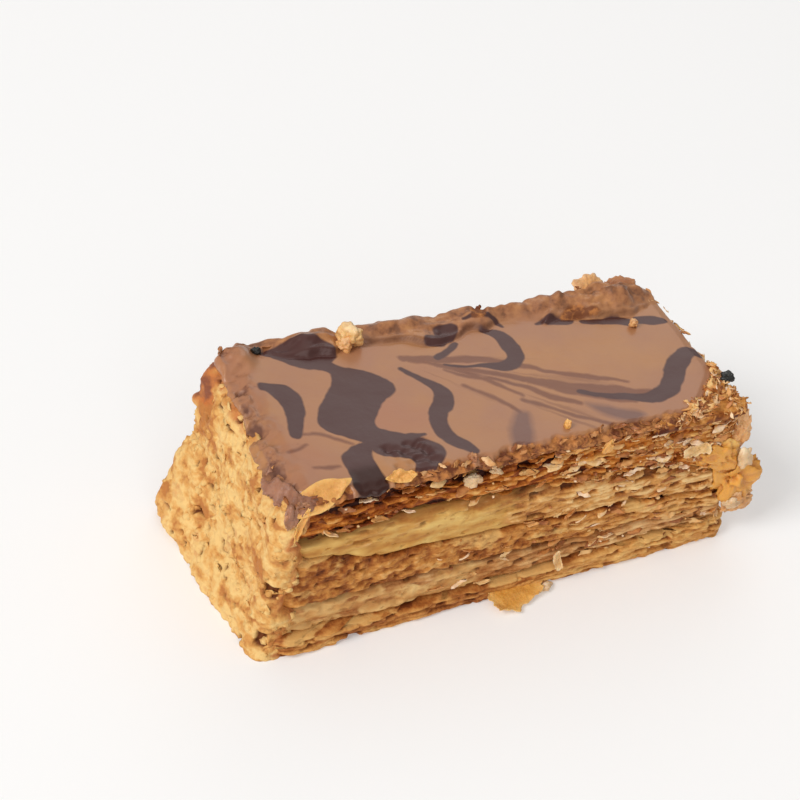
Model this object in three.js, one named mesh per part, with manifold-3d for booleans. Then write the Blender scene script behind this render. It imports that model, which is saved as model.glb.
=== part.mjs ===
// A slice of layered puff pastry with two fillings, a marbled icing and a crumbed end.
// Millimetres, +Z up. X runs along the slice, the cut front faces -Y, the crumbed end faces -X.

import * as THREE from "three";
import { mergeVertices } from "three/addons/utils/BufferGeometryUtils.js";
import Module from "manifold-3d";

const wasm = await Module();
wasm.setup();

// Driving dimensions
const length = 113;
const width = 46;
const height = 42; // to the flat of the icing
const clearance = 0.3; // between neighbouring layers
const coatThickness = 2.7; // crumbs pressed on the left end

const left = -length / 2;
const right = length / 2;
const front = -width / 2;
const back = width / 2;

// The slice was cut by hand, so no side is square: where each corner stands, at its foot and at its top.
const handCut = {
  frontLeft: { foot: [-60, -25], top: [-56.4, -24.3] },
  frontRight: { foot: [59.8, -21.4], top: [54.6, -22.6] },
  backRight: { foot: [60, 20.8], top: [57.2, 19.8] },
  backLeft: { foot: [-61.8, 25.4], top: [-52.8, 25] },
};

// The height of each boundary between layers, at five stations along the slice
const stations = [-52, -28, 0, 25, 50];
const boundaries = {
  floor: [0, 0, 0, 0, 0],
  bottomPastry: [5.0, 3.9, 4.3, 5.7, 6.0],
  lowerFilling: [12.0, 12.5, 12.0, 10.9, 10.3],
  middlePastry: [25.2, 20.5, 19.4, 18.2, 15.9],
  upperFilling: [28.8, 30.8, 29.5, 27.2, 23.2],
  topPastry: [40.3, 40.3, 40.2, 40.0, 39.8],
};

const layerColumns = 42; // along the front and the back
const icingColumns = 36;
const endColumns = 14;

const ease = (t) => t * t * (3 - 2 * t);
const mix = (a, b, t) => a + (b - a) * t;
const between = (v, low, high) => ease(THREE.MathUtils.clamp((v - low) / (high - low), 0, 1));

// Smooth value noise from -1 to 1, the same on every run
function hash(i, j, k) {
  let h = Math.imul(i, 374761393) + Math.imul(j, 668265263) + Math.imul(k, 1274126177);
  h = Math.imul(h ^ (h >>> 13), 1103515245);
  h ^= h >>> 16;
  return (h >>> 0) / 2147483647.5 - 1;
}

function noise(x, y, z) {
  const [i, j, k] = [x, y, z].map(Math.floor);
  const [u, v, w] = [ease(x - i), ease(y - j), ease(z - k)];
  const row = (dj, dk) => mix(hash(i, j + dj, k + dk), hash(i + 1, j + dj, k + dk), u);
  return mix(mix(row(0, 0), row(1, 0), v), mix(row(0, 1), row(1, 1), v), w);
}

// A boundary's height at x, on a smooth curve through its stations
function heightAt(name, x) {
  const levels = boundaries[name];
  const at = THREE.MathUtils.clamp(x, stations[0], stations[stations.length - 1]);
  let i = 0;
  while (i < stations.length - 2 && at > stations[i + 1]) i += 1;
  return mix(levels[i], levels[i + 1], ease((at - stations[i]) / (stations[i + 1] - stations[i])));
}

// Moves a point of the square block to its place in the hand-cut one
function lean([x, y, z]) {
  const [u, v, w] = [x / length + 0.5, y / width + 0.5, z / height];
  const corner = (name, axis) => mix(handCut[name].foot[axis], handCut[name].top[axis], w);
  const place = (axis) =>
    mix(
      mix(corner("frontLeft", axis), corner("frontRight", axis), u),
      mix(corner("backLeft", axis), corner("backRight", axis), u),
      v,
    );
  return [place(0), place(1), z];
}

// A plan outline, counter-clockwise from the front left: a rectangle whose corners are cut back.
// A cut is [x, y, how far its curve is pulled back from the corner, points on it].
// Every point has its outward normal, so that relief can push it in or out.
function planOf({ from, to, cuts, columns, leftColumns }) {
  const points = [];
  const side = (a, b, count, normal) => {
    for (let i = 0; i <= count; i += 1)
      points.push({ x: mix(a[0], b[0], i / count), y: mix(a[1], b[1], i / count), normal });
  };
  const corner = (at, inward, [cutX, cutY, pull = 0.1, count = 1], turn) => {
    for (let i = 1; i <= count; i += 1) {
      const t = i / (count + 1);
      const control = 2 * t * (1 - t) * pull;
      const startsAlongX = inward[0] * inward[1] < 0;
      const [first, last] = [(1 - t) ** 2 + control, t ** 2 + control];
      const angle = turn + (Math.PI / 2) * t;
      points.push({
        x: at[0] + inward[0] * cutX * (startsAlongX ? first : last),
        y: at[1] + inward[1] * cutY * (startsAlongX ? last : first),
        normal: [Math.cos(angle), Math.sin(angle)],
      });
    }
  };
  const { frontLeft, frontRight, backRight, backLeft } = cuts;
  side([from + frontLeft[0], front], [to - frontRight[0], front], columns, [0, -1]);
  corner([to, front], [-1, 1], frontRight, -Math.PI / 2);
  side([to, front + frontRight[1]], [to, back - backRight[1]], endColumns, [1, 0]);
  corner([to, back], [-1, -1], backRight, 0);
  side([to - backRight[0], back], [from + backLeft[0], back], columns, [0, 1]);
  corner([from, back], [1, -1], backLeft, Math.PI / 2);
  side([from, back - backLeft[1]], [from, front + frontLeft[1]], leftColumns, [-1, 0]);
  corner([from, front], [1, 1], frontLeft, Math.PI);
  return points;
}

// Triangles over a ring, as rungs of a ladder between its front row and its back row
function ladder(count, columns) {
  const faces = [];
  let [a, b] = [0, count - 1];
  while (b - a > 1) {
    if (a < columns) {
      faces.push([a, a + 1, b]);
      a += 1;
    }
    if (b - a > 1) {
      faces.push([a, b - 1, b]);
      b -= 1;
    }
  }
  return faces;
}

// One closed body from rings of equal count, the lowest ring first, with both ends capped
function bodyOf(rings, capFaces) {
  const count = rings[0].length;
  const positions = rings.flat().map(lean).flat();
  const index = [];
  for (let r = 0; r < rings.length - 1; r += 1)
    for (let i = 0; i < count; i += 1) {
      const [a, b] = [r * count + i, r * count + ((i + 1) % count)];
      index.push(a, b, b + count, a, b + count, a + count);
    }
  const top = (rings.length - 1) * count;
  for (const [a, b, c] of capFaces) {
    index.push(a, c, b);
    index.push(top + a, top + b, top + c);
  }
  const geometry = new THREE.BufferGeometry();
  geometry.setAttribute("position", new THREE.Float32BufferAttribute(positions, 3));
  geometry.setIndex(index);
  return geometry;
}

// Joins and trims closed geometries
function solidOf(geometry) {
  const bare = geometry.index ? geometry.clone() : geometry.toNonIndexed();
  bare.deleteAttribute("normal");
  bare.deleteAttribute("uv");
  const merged = mergeVertices(bare, 1e-3);
  return new wasm.Manifold(
    new wasm.Mesh({
      numProp: 3,
      vertProperties: new Float32Array(merged.attributes.position.array),
      triVerts: new Uint32Array(merged.index.array),
    }),
  );
}

function geometryOf(solid) {
  const { vertProperties, triVerts } = solid.getMesh();
  const geometry = new THREE.BufferGeometry();
  geometry.setAttribute("position", new THREE.BufferAttribute(new Float32Array(vertProperties), 3));
  geometry.setIndex(new THREE.BufferAttribute(new Uint32Array(triVerts), 1));
  return geometry;
}

// The body with its crumbs and flakes fused on, and any scrap that only touched it dropped
function fused(body, extras) {
  const joined = extras.reduce((sum, extra) => sum.add(solidOf(extra)), solidOf(body));
  const bodies = joined.decompose();
  bodies.sort((a, b) => b.volume() - a.volume());
  return geometryOf(bodies[0]);
}

// The pastry's own plan stops short of the left end, where the crumbs are pressed on.
const layerLeft = left + coatThickness + clearance;
const layerCuts = { frontLeft: [5, 3], frontRight: [2.6, 2.6], backRight: [2.6, 2.6], backLeft: [3, 2] };
const layerEnds = { from: layerLeft, to: right };
const layerPlan = planOf({ ...layerEnds, cuts: layerCuts, columns: layerColumns, leftColumns: 3 });
const layerCap = ladder(layerPlan.length, layerColumns);

// Relief fades out towards the crumbed end, so that the layers meet it on flat faces.
const reliefMask = (x) => between(x, layerLeft + 5, layerLeft + 8);

// How far a leaf of pastry stands out at a point of the outline
function leafEdge(point, leaf) {
  const coarse = noise(point.x / 6.1, point.y / 6.1, leaf * 5.7);
  const fine = noise(point.x / 2.3, point.y / 2.3, leaf * 9.1 + 40);
  return 0.75 * coarse + 0.55 * fine;
}

// A layer between two boundaries. Each step of the profile is a height share and how far it stands out.
function layerOf(low, high, profile) {
  const rings = profile.map((step) =>
    layerPlan.map((point) => {
      const out = reliefMask(point.x) * step.out(point);
      const x = point.x + point.normal[0] * out;
      const y = point.y + point.normal[1] * out;
      const floor = heightAt(low, x) + (low === "floor" ? 0 : clearance / 2);
      const ceiling = heightAt(high, x) - clearance / 2;
      const sway = (step.wave ?? 0) * noise(point.x / 9, point.y / 9, step.share * 30);
      const wave = reliefMask(point.x) * sway;
      return [x, y, mix(floor, ceiling, step.share + wave)];
    }),
  );
  return bodyOf(rings, layerCap);
}

// Leaves of pastry from the lowest up, with a groove under each but the first. A leaf has its foot and, when
// it is thick, its top, as shares of the layer. It also has how far it stands out, the most that it may, and
// the extra depth of the groove under it.
function leafProfile(leaves, grooveDepth, seed) {
  const steps = [];
  leaves.forEach(({ foot, top = foot, out, most = 2, hollow = () => 0 }, i) => {
    const edge = (point) => Math.min(most, out + leafEdge(point, seed + i));
    if (i > 0) {
      const below = leaves[i - 1].top ?? leaves[i - 1].foot;
      const depth = ({ x, y }) => -grooveDepth - hollow(x) + 0.5 * noise(x / 4, y / 4, seed + i * 3.3);
      steps.push({ share: (below + foot) / 2, out: depth, wave: 0.012 });
    }
    steps.push({ share: foot, out: edge, wave: foot > 0 ? 0.018 : 0 });
    if (top > foot)
      steps.push({ share: top, out: (point) => edge(point) - 0.15, wave: top < 1 ? 0.018 : 0 });
  });
  return steps;
}

// A soft filling that sits a little back between the leaves, smeared by the knife
function fillingProfile(seed) {
  const shares = [0, 0.3, 0.7, 1];
  const setBack = [-1.0, -0.35, -0.25, -1.1];
  return shares.map((share, i) => ({
    share,
    out: (point) => setBack[i] + 0.45 * noise(point.x / 5, point.y / 5, seed + share * 2),
  }));
}

// A thin curled flake: a ragged sheet with rounded ends, bent along its length, then turned and placed
function flakeOf({ at, size, turn, curl, thickness, seed }) {
  const [columns, rows] = [7, 4];
  const positions = [];
  const index = [];
  const rim = (u, v) => 1 - 0.35 * Math.max(Math.abs(u), Math.abs(v)) ** 3;
  for (const face of [1, -1])
    for (let r = 0; r <= rows; r += 1)
      for (let c = 0; c <= columns; c += 1) {
        const [u, v] = [(c / columns) * 2 - 1, (r / rows) * 2 - 1];
        const ragged = 1 + 0.16 * noise(u * 2.2 + seed, v * 2.2, seed);
        const edge = c === 0 || c === columns || r === 0 || r === rows;
        const lift = edge ? 0.35 : 1;
        positions.push(
          (u * size[0] * rim(0, v) * ragged) / 2,
          (v * size[1] * rim(u, 0) * ragged) / 2,
          curl * u * u + (face * thickness * lift) / 2 + 0.25 * noise(u * 2, v * 2, seed + 9),
        );
      }
  const across = columns + 1;
  const sheet = across * (rows + 1);
  for (let r = 0; r < rows; r += 1)
    for (let c = 0; c < columns; c += 1) {
      const [a, b] = [r * across + c, r * across + c + 1];
      const [d, e] = [a + across, b + across];
      index.push(a, b, e, a, e, d, sheet + a, sheet + e, sheet + b, sheet + a, sheet + d, sheet + e);
    }
  const wall = (a, b) => index.push(a, sheet + a, sheet + b, a, sheet + b, b);
  for (let c = 0; c < columns; c += 1) {
    wall(c, c + 1);
    wall(rows * across + c + 1, rows * across + c);
  }
  for (let r = 0; r < rows; r += 1) {
    wall((r + 1) * across, r * across);
    wall(r * across + columns, (r + 1) * across + columns);
  }
  const geometry = new THREE.BufferGeometry();
  geometry.setAttribute("position", new THREE.Float32BufferAttribute(positions, 3));
  geometry.setIndex(index);
  const [turnX, turnY, turnZ] = turn.map(THREE.MathUtils.degToRad);
  const turned = new THREE.Matrix4().makeRotationFromEuler(new THREE.Euler(turnX, turnY, turnZ, "XYZ"));
  return geometry.applyMatrix4(turned).translate(...at);
}

// A crumb: a small lump with uneven faces
function crumbOf(at, radius, seed) {
  const ball = new THREE.IcosahedronGeometry(radius, 0).deleteAttribute("normal").deleteAttribute("uv");
  const geometry = mergeVertices(ball);
  const position = geometry.attributes.position;
  for (let i = 0; i < position.count; i += 1) {
    const [x, y, z] = [position.getX(i), position.getY(i), position.getZ(i)];
    const swell = 1 + 0.28 * noise((x / radius) * 1.7 + seed, (y / radius) * 1.7, z / radius + seed);
    position.setXYZ(i, x * swell, y * swell, z * swell * 0.85);
  }
  return geometry.translate(...at);
}

// Where the icing has broken away from the front right corner, measured along X and along Y
const brokenCorner = [16, 10, 0.55, 4];

// Crumbs in rows beside the icing's broken edge
function cornerCrumbs() {
  const [alongX, alongY] = brokenCorner;
  const edgeLength = Math.hypot(alongX, alongY);
  const outward = [alongY / edgeLength, -alongX / edgeLength];
  const crumbs = [];
  for (const distance of [4.3, 6.3, 8])
    for (let i = 0; i <= 6; i += 1) {
      const share = (i + 0.5 * (distance > 5 ? 1 : 0)) / 6.5;
      const x = right - alongX + alongX * share + outward[0] * distance;
      const y = front + alongY * share + outward[1] * distance;
      if (x > right - 0.6 || y < front + 0.6) continue;
      const radius = 1.45 + 0.3 * noise(x * 1.3, y * 1.3, 90);
      crumbs.push(crumbOf(lean([x, y, heightAt("topPastry", x) + radius * 0.35]), radius, i + distance));
    }
  return crumbs;
}

// Bottom sheet of pastry, with the flake that lies in front of its foot and a sliver that stands up from it
function bottomPastry() {
  const leaves = [
    { foot: 0, top: 0.4, out: 0.1 },
    { foot: 0.6, top: 1, out: 0.2 },
  ];
  const body = layerOf("floor", "bottomPastry", leafProfile(leaves, 0.9, 11));
  const footFlake = flakeOf({
    at: [1.6, -23.2, 1.3],
    size: [13, 6.6],
    turn: [7, 3, 16],
    curl: 0.4,
    thickness: 1,
    seed: 3,
  });
  const sliver = flakeOf({
    at: [14.6, -24.6, 7.6],
    size: [9.5, 2.8],
    turn: [90, 0, 74],
    curl: 0.3,
    thickness: 0.9,
    seed: 4,
  });
  return fused(body, [footFlake, sliver]);
}

// Middle sheet, whose lowest leaf overhangs the filling, with the amber flake at the right end
function middlePastry() {
  const leaves = [
    { foot: 0, top: 0.17, out: 0.5 },
    { foot: 0.36, out: 0.2 },
    { foot: 0.55, out: 0.1 },
    { foot: 0.75, top: 1, out: -0.1 },
  ];
  const body = layerOf("lowerFilling", "middlePastry", leafProfile(leaves, 1.3, 21));
  return fused(body, []);
}

// Top sheet: the thickest, with a dark gap under its highest leaf and a curled flake at the front left
function topPastry() {
  const darkGap = (x) => 2.4 * between(x, -44, -38) * (1 - between(x, -14, -7));
  const leaves = [
    { foot: 0, top: 0.11, out: 0.45 },
    { foot: 0.23, out: 0.3 },
    { foot: 0.35, top: 0.43, out: 0 },
    { foot: 0.54, out: 0.15 },
    { foot: 0.65, out: 0.05 },
    { foot: 0.82, top: 1, out: -0.9, most: -0.5, hollow: darkGap },
  ];
  const body = layerOf("upperFilling", "topPastry", leafProfile(leaves, 1.7, 31));
  const amberFlake = flakeOf({
    at: [59.6, -23.5, 20.6],
    size: [14.5, 6.4],
    turn: [86, 0, -64],
    curl: 0.6,
    thickness: 1.2,
    seed: 7,
  });
  const curledFlake = flakeOf({
    at: [-45.2, -24.6, 34.3],
    size: [9, 5],
    turn: [58, -24, 4],
    curl: -1.2,
    thickness: 0.9,
    seed: 5,
  });
  const amberRoot = crumbOf([56.2, -22.6, 26.9], 2, 15);
  return fused(body, [amberRoot, amberFlake, curledFlake, ...cornerCrumbs()]);
}

function filling(low, high, seed) {
  return layerOf(low, high, fillingProfile(seed));
}

// The icing's surface: flat in the middle, lapping up a raised crust along the back edge
function icingTop(x, y) {
  const swell = 0.22 * noise(x / 17, y / 13, 2) + 0.08 * noise(x / 5, y / 5, 4);
  const crest = 1.5 + 1.2 * noise(x / 8, 1.5, 6) + 1.6 * between(x, 34, 42) * (1 - between(x, 50, 56));
  const rim = crest * between(y, back - 6.5, back - 2.2);
  const leftLump = 0.9 * between(-x, 46, 53) * between(y, -6, 12);
  return height + swell + Math.max(0, rim) + leftLump;
}

// The icing: an underside on the pastry, a lip that hangs over the edge, a rounded shoulder and the top
function icing() {
  const cuts = { frontLeft: [3, 3.4], frontRight: brokenCorner, backRight: [3, 3], backLeft: [4, 3] };
  const ends = { from: left + 0.4, to: right - 0.6 };
  const plan = planOf({ ...ends, cuts, columns: icingColumns, leftColumns: endColumns });
  const lipOut = 1;
  const underside = (x) => heightAt("topPastry", x) + clearance / 2;
  // How far the lip hangs below the underside: it stays above it over the crumbed end and the broken one.
  const drip = ({ x, y }) => {
    const patch = 2.2 * between(x, -44, -41) * (1 - between(x, -36, -32));
    const wavy = 0.9 + 0.8 * noise(x / 4, y / 4, 60);
    const hanging = y < front + 4 ? Math.max(0.3, wavy + patch) : 0.4;
    const clear = between(x, layerLeft + 8.5, layerLeft + 11) * (1 - between(x, right - 17, right - 14));
    return mix(-0.2, hanging, clear);
  };
  const edge = (point, out) => {
    const ragged = out + 0.45 * noise(point.x / 4.3, point.y / 4.3, 70);
    return [point.x + point.normal[0] * ragged, point.y + point.normal[1] * ragged];
  };
  const ring = (out, z) =>
    plan.map((point) => {
      const [x, y] = edge(point, out);
      return [x, y, z(x, y, point)];
    });
  const shrunk = (share) =>
    plan.map((point) => {
      const [x, y] = edge(point, lipOut - 0.9);
      const [shrunkX, shrunkY] = [x * (1 - share * 0.36), y * (1 - share) ** 0.9];
      return [shrunkX, shrunkY, icingTop(shrunkX, shrunkY)];
    });
  const rings = [
    ring(-1.8, (x) => underside(x)),
    ring(0.25, (x) => underside(x)),
    ring(0.3, (x, y, point) => underside(x) - drip(point)),
    ring(lipOut, (x, y, point) => underside(x) - drip(point) + 0.25),
    ring(lipOut, (x, y) => icingTop(x, y) - 0.75),
    ring(lipOut - 0.5, (x, y) => icingTop(x, y) - 0.15),
    shrunk(0),
    shrunk(0.1),
    shrunk(0.28),
    shrunk(0.55),
    shrunk(0.85),
  ];
  const body = bodyOf(rings, ladder(plan.length, icingColumns));
  const onTop = (x, y, lift) => lean([x, y, icingTop(x, y) + lift]);
  const rimCrumbs = [-43, -33, -9, 3, 13, 29, 47].map((x, i) =>
    crumbOf(onTop(x, back - 1.6 + noise(x, 1, 3), 0.3), 1.3 + 0.5 * noise(x, 2, 5), i),
  );
  const rimFlakes = [
    { at: onTop(40, back - 0.6, 0.6), size: [9, 4.5], turn: [38, 6, 3], seed: 8 },
    { at: onTop(50, back - 1.8, 0.5), size: [8, 4], turn: [30, -8, -12], seed: 6 },
  ];
  return fused(body, [
    crumbOf(onTop(-19.5, back - 2.4, 0.9), 2.6, 12),
    crumbOf(onTop(right - 1.6, front + 8.6, 0.5), 1.2, 14),
    ...rimFlakes.map((flake) => flakeOf({ ...flake, curl: 0.6, thickness: 1 })),
    ...rimCrumbs,
  ]);
}

// Crumbs pressed over the left end, lapping a little way round both corners
function crumbCoat() {
  const rows = 17;
  const columns = 24;
  const outer = [];
  outer.push({ x: layerLeft + 5, y: front - 0.75, normal: [0, -1], grain: 0.1 });
  outer.push({ x: layerLeft + 2, y: front - 0.8, normal: [0, -1], grain: 0.5 });
  outer.push({ x: left + 2.2, y: front - 0.1, normal: [-0.3, -0.95], grain: 0.8 });
  outer.push({ x: left + 0.6, y: front + 1.2, normal: [-0.8, -0.6], grain: 1 });
  for (let i = 0; i <= columns; i += 1)
    outer.push({ x: left, y: mix(front + 3, back - 2.6, i / columns), normal: [-1, 0], grain: 1 });
  outer.push({ x: left + 0.8, y: back - 0.8, normal: [-0.75, 0.66], grain: 1 });
  outer.push({ x: layerLeft + 0.5, y: back + 0.5, normal: [-0.2, 0.97], grain: 0.5 });
  outer.push({ x: layerLeft + 3, y: back + 0.75, normal: [0, 1], grain: 0.1 });
  // The inside keeps clear of the layers' cut-back corners.
  const inner = [
    [layerLeft + 2.9, back + clearance],
    [layerLeft + 0.7, back - 0.3],
    [layerLeft - clearance, back - 2],
    [layerLeft - clearance, 0],
    [layerLeft - clearance, front + 3],
    [layerLeft + 1.2, front + 0.6],
    [layerLeft + 4.85, front - clearance],
  ];
  // The path runs clockwise seen from above, so it is turned round for the rings.
  const rings = [];
  for (let r = 0; r <= rows; r += 1) {
    const share = r / rows;
    const ring = outer.map(({ x, y, normal, grain }) => {
      const z = mix(clearance, heightAt("topPastry", left) - clearance, share);
      const lump = 1.15 * noise(y / 6.5, z / 6, 81) + 0.6 * noise(y / 2.4, z / 2.4, 84);
      const foot = 1.1 * (1 - between(z, 1, 9)) * between(y, -16, 22);
      const shoulder = 1.9 * between(z, 27, 36) * between(y, 6, 20);
      const out = grain * (lump + foot + shoulder);
      return [x + normal[0] * out, y + normal[1] * out, z];
    });
    const backing = inner.map(([x, y]) => [x, y, ring[0][2]]);
    rings.push([...ring, ...backing].reverse());
  }
  const contour = rings[0].map(([x, y]) => new THREE.Vector2(x, y));
  const cap = THREE.ShapeUtils.triangulateShape(contour, []);
  return bodyOf(rings, cap);
}

const finishes = {
  bakedPastry: { color: "#b9803f", roughness: 0.72 },
  dulceFilling: { color: "#c99a5b", roughness: 0.5 },
  custardFilling: { color: "#dcb873", roughness: 0.5 },
  marbledIcing: { color: "#a87a58", roughness: 0.3 },
  goldenCrumb: { color: "#dda95c", roughness: 0.85 },
};

function piece(name, geometry, finish) {
  const { color, roughness } = finishes[finish];
  const mesh = new THREE.Mesh(
    geometry,
    new THREE.MeshStandardMaterial({ color, roughness, metalness: 0, flatShading: true }),
  );
  mesh.name = name;
  return mesh;
}

const slice = new THREE.Group();
slice.add(piece("bottom_pastry", bottomPastry(), "bakedPastry"));
slice.add(piece("lower_filling", filling("bottomPastry", "lowerFilling", 51), "dulceFilling"));
slice.add(piece("middle_pastry", middlePastry(), "bakedPastry"));
slice.add(piece("upper_filling", filling("middlePastry", "upperFilling", 53), "custardFilling"));
slice.add(piece("top_pastry", topPastry(), "bakedPastry"));
slice.add(piece("icing", icing(), "marbledIcing"));
slice.add(piece("crumb_coat", crumbCoat(), "goldenCrumb"));

// The origin is at the middle of the foot of the slice's box.
const box = new THREE.Box3().setFromObject(slice);
const middle = box.getCenter(new THREE.Vector3());
slice.position.set(-middle.x, -middle.y, -box.min.z);

export default slice;
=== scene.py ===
# A slice of layered puff pastry: three sheets, two fillings, a marbled icing and a crumbed end.
import math

import bmesh
import bpy
import numpy as np
from mathutils import Matrix, Vector


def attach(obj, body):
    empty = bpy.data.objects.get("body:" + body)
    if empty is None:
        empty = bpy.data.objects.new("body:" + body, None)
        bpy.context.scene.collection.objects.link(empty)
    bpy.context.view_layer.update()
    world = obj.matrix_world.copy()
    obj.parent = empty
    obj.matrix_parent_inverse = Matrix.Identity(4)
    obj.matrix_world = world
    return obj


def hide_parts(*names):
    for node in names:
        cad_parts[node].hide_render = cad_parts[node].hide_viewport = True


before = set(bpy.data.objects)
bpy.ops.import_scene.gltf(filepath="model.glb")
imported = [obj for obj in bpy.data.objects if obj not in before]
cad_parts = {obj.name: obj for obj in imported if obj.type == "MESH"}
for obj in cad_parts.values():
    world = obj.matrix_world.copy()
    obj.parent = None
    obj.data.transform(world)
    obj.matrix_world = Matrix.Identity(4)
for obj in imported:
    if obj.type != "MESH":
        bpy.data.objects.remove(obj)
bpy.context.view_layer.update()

mm = 0.001

block = {  # the slice as a square block, in mm, before the knife leaned its sides
    "length": 113.0,
    "width": 46.0,
    "height": 42.0,
    "coat": 2.7,
    "gap": 0.3,
    "middle": (-0.19, 0.39),  # puts the block over the frame's origin
}
cornerFeet = {  # where the corners stand: foot, then top
    "frontLeft": ((-60.0, -25.0), (-56.4, -24.3)),
    "frontRight": ((59.8, -21.4), (54.6, -22.6)),
    "backRight": ((60.0, 20.8), (57.2, 19.8)),
    "backLeft": ((-61.8, 25.4), (-52.8, 25.0)),
}
stations = (-52, -28, 0, 25, 50)
levels = {  # the height of each boundary between layers at the stations
    "floor": (0, 0, 0, 0, 0),
    "bottomPastry": (5.0, 3.9, 4.3, 5.7, 6.0),
    "lowerFilling": (12.0, 12.5, 12.0, 10.9, 10.3),
    "middlePastry": (25.2, 20.5, 19.4, 18.2, 15.9),
    "upperFilling": (28.8, 30.8, 29.5, 27.2, 23.2),
    "topPastry": (40.3, 40.3, 40.2, 40.0, 39.8),
}
left, right = -block["length"] / 2, block["length"] / 2
front, back = -block["width"] / 2, block["width"] / 2
layerLeft = left + block["coat"] + block["gap"]


def ease(t):
    return t * t * (3 - 2 * t)


def between(v, low, high):
    return ease(np.clip((v - low) / (high - low), 0, 1))


def along(x, places, values):  # a smooth curve through values at places
    x = np.clip(x, places[0], places[-1])
    n = np.clip(np.searchsorted(places, x, side="right") - 1, 0, len(places) - 2)
    places, values = np.asarray(places, float), np.asarray(values, float)
    t = (x - places[n]) / (places[n + 1] - places[n])
    return values[n] + (values[n + 1] - values[n]) * ease(t)


def levelAt(name, x):
    return along(x, stations, levels[name])


def grain(x, y, z, seed=0):  # smooth value noise from -1 to 1
    x, y, z = np.broadcast_arrays(x, y, z)
    i, j, k = (np.floor(v).astype(np.int64) for v in (x, y, z))
    u, v, w = ease(x - i), ease(y - j), ease(z - k)
    total = np.zeros(x.shape)
    for a in (0, 1):
        for b in (0, 1):
            for c in (0, 1):
                h = (i + a) * 374761393 + (j + b) * 668265263 + (k + c) * 1274126177 + seed * 974711
                h = h & 0xFFFFFFFF
                h = ((h ^ (h >> 13)) * 1103515245) & 0xFFFFFFFF
                h = h ^ (h >> 16)
                share = (u if a else 1 - u) * (v if b else 1 - v) * (w if c else 1 - w)
                total += share * (h / 2147483647.5 - 1)
    return total


def layered(x, y, z, *layers):  # noise in layers: how much, its size along x, y and z, and its seed
    return sum(much * grain(x / sx, y / sy, z / sz, seed) for much, sx, sy, sz, seed in layers)


def lean(points):  # from the square block to the hand-cut slice in the frame, in mm
    u = points[:, 0] / block["length"] + 0.5
    v = points[:, 1] / block["width"] + 0.5
    w = points[:, 2] / block["height"]
    placed = points.copy()
    for axis in (0, 1):
        at = {name: foot[axis] + (top[axis] - foot[axis]) * w for name, (foot, top) in cornerFeet.items()}
        frontRow = at["frontLeft"] * (1 - u) + at["frontRight"] * u
        backRow = at["backLeft"] * (1 - u) + at["backRight"] * u
        placed[:, axis] = frontRow * (1 - v) + backRow * v + block["middle"][axis]
    return placed


def outlineOf(x0, x1, y0, y1, cuts, step):  # a rounded rectangle, counter-clockwise: x, y and outward normal
    arcs = [(x1, y0, -1, 1, -90), (x1, y1, -1, -1, 0), (x0, y1, 1, -1, 90), (x0, y0, 1, 1, 180)]
    path = []
    for (cx, cy, sx, sy, turn), (ax, ay) in zip(arcs, cuts):
        for degrees in range(turn, turn + 91, 10):
            a = math.radians(degrees)
            path.append((cx + sx * ax + ax * math.cos(a), cy + sy * ay + ay * math.sin(a)))
    path = np.array(path + path[:1])
    run = np.concatenate([[0], np.cumsum(np.hypot(*np.diff(path, axis=0).T))])
    at = np.arange(0, run[-1], step)
    x, y = np.interp(at, run, path[:, 0]), np.interp(at, run, path[:, 1])
    tx, ty = np.roll(x, -1) - np.roll(x, 1), np.roll(y, -1) - np.roll(y, 1)
    size = np.hypot(tx, ty)
    return x, y, ty / size, -tx / size


def gridFaces(rows, columns, closed=True, closedRows=False):  # quads between rows of points
    r, c = np.mgrid[:rows if closedRows else rows - 1, :columns if closed else columns - 1]
    r1, c1 = (r + 1) % rows, (c + 1) % columns
    quads = [r * columns + c, r * columns + c1, r1 * columns + c1, r1 * columns + c]
    return np.stack(quads, -1).reshape(-1, 4)


def linked(name, data):  # a new object in the scene
    made = bpy.data.objects.new(name, data)
    bpy.context.scene.collection.objects.link(made)
    return made


def makeObject(name, points, faces, **attributes):
    mesh = bpy.data.meshes.new(name)
    points = np.asarray(points, float).reshape(-1, 3)
    mesh.from_pydata(points.tolist(), [], faces.tolist() if isinstance(faces, np.ndarray) else faces)
    for label, values in attributes.items():
        values = np.asarray(values, float)
        kind, field = ("FLOAT_VECTOR", "vector") if values.size == points.size else ("FLOAT", "value")
        mesh.attributes.new(label, kind, "POINT").data.foreach_set(field, values.ravel())
    mesh.shade_smooth()
    return linked(name, mesh)


def settle(piece, leaned=True):  # puts a piece made in mm where the slice stands, in metres
    points = np.empty(len(piece.data.vertices) * 3)
    piece.data.vertices.foreach_get("co", points)
    points = points.reshape(-1, 3)
    if leaned:
        points = lean(points)
    points[:, 2] = np.maximum(points[:, 2], 0)
    piece.data.vertices.foreach_set("co", (points * mm).ravel())
    piece.data.update()


def ringBody(name, rings, **rows):  # a body from rings of points, the lowest first, with a fan over each end
    height, columns = len(rings), len(rings[0])
    points = np.concatenate([*rings, [rings[0].mean(0)], [rings[-1].mean(0)]])
    faces = gridFaces(height, columns).tolist()
    low = height * columns
    for c in range(columns):
        d = (c + 1) % columns
        faces.append((d, c, low))
        faces.append((low - columns + c, low - columns + d, low + 1))
    flat = {label: np.concatenate([*values, [0.0, 0.0]]) for label, values in rows.items()}
    return makeObject(name, points, faces, **flat)


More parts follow.
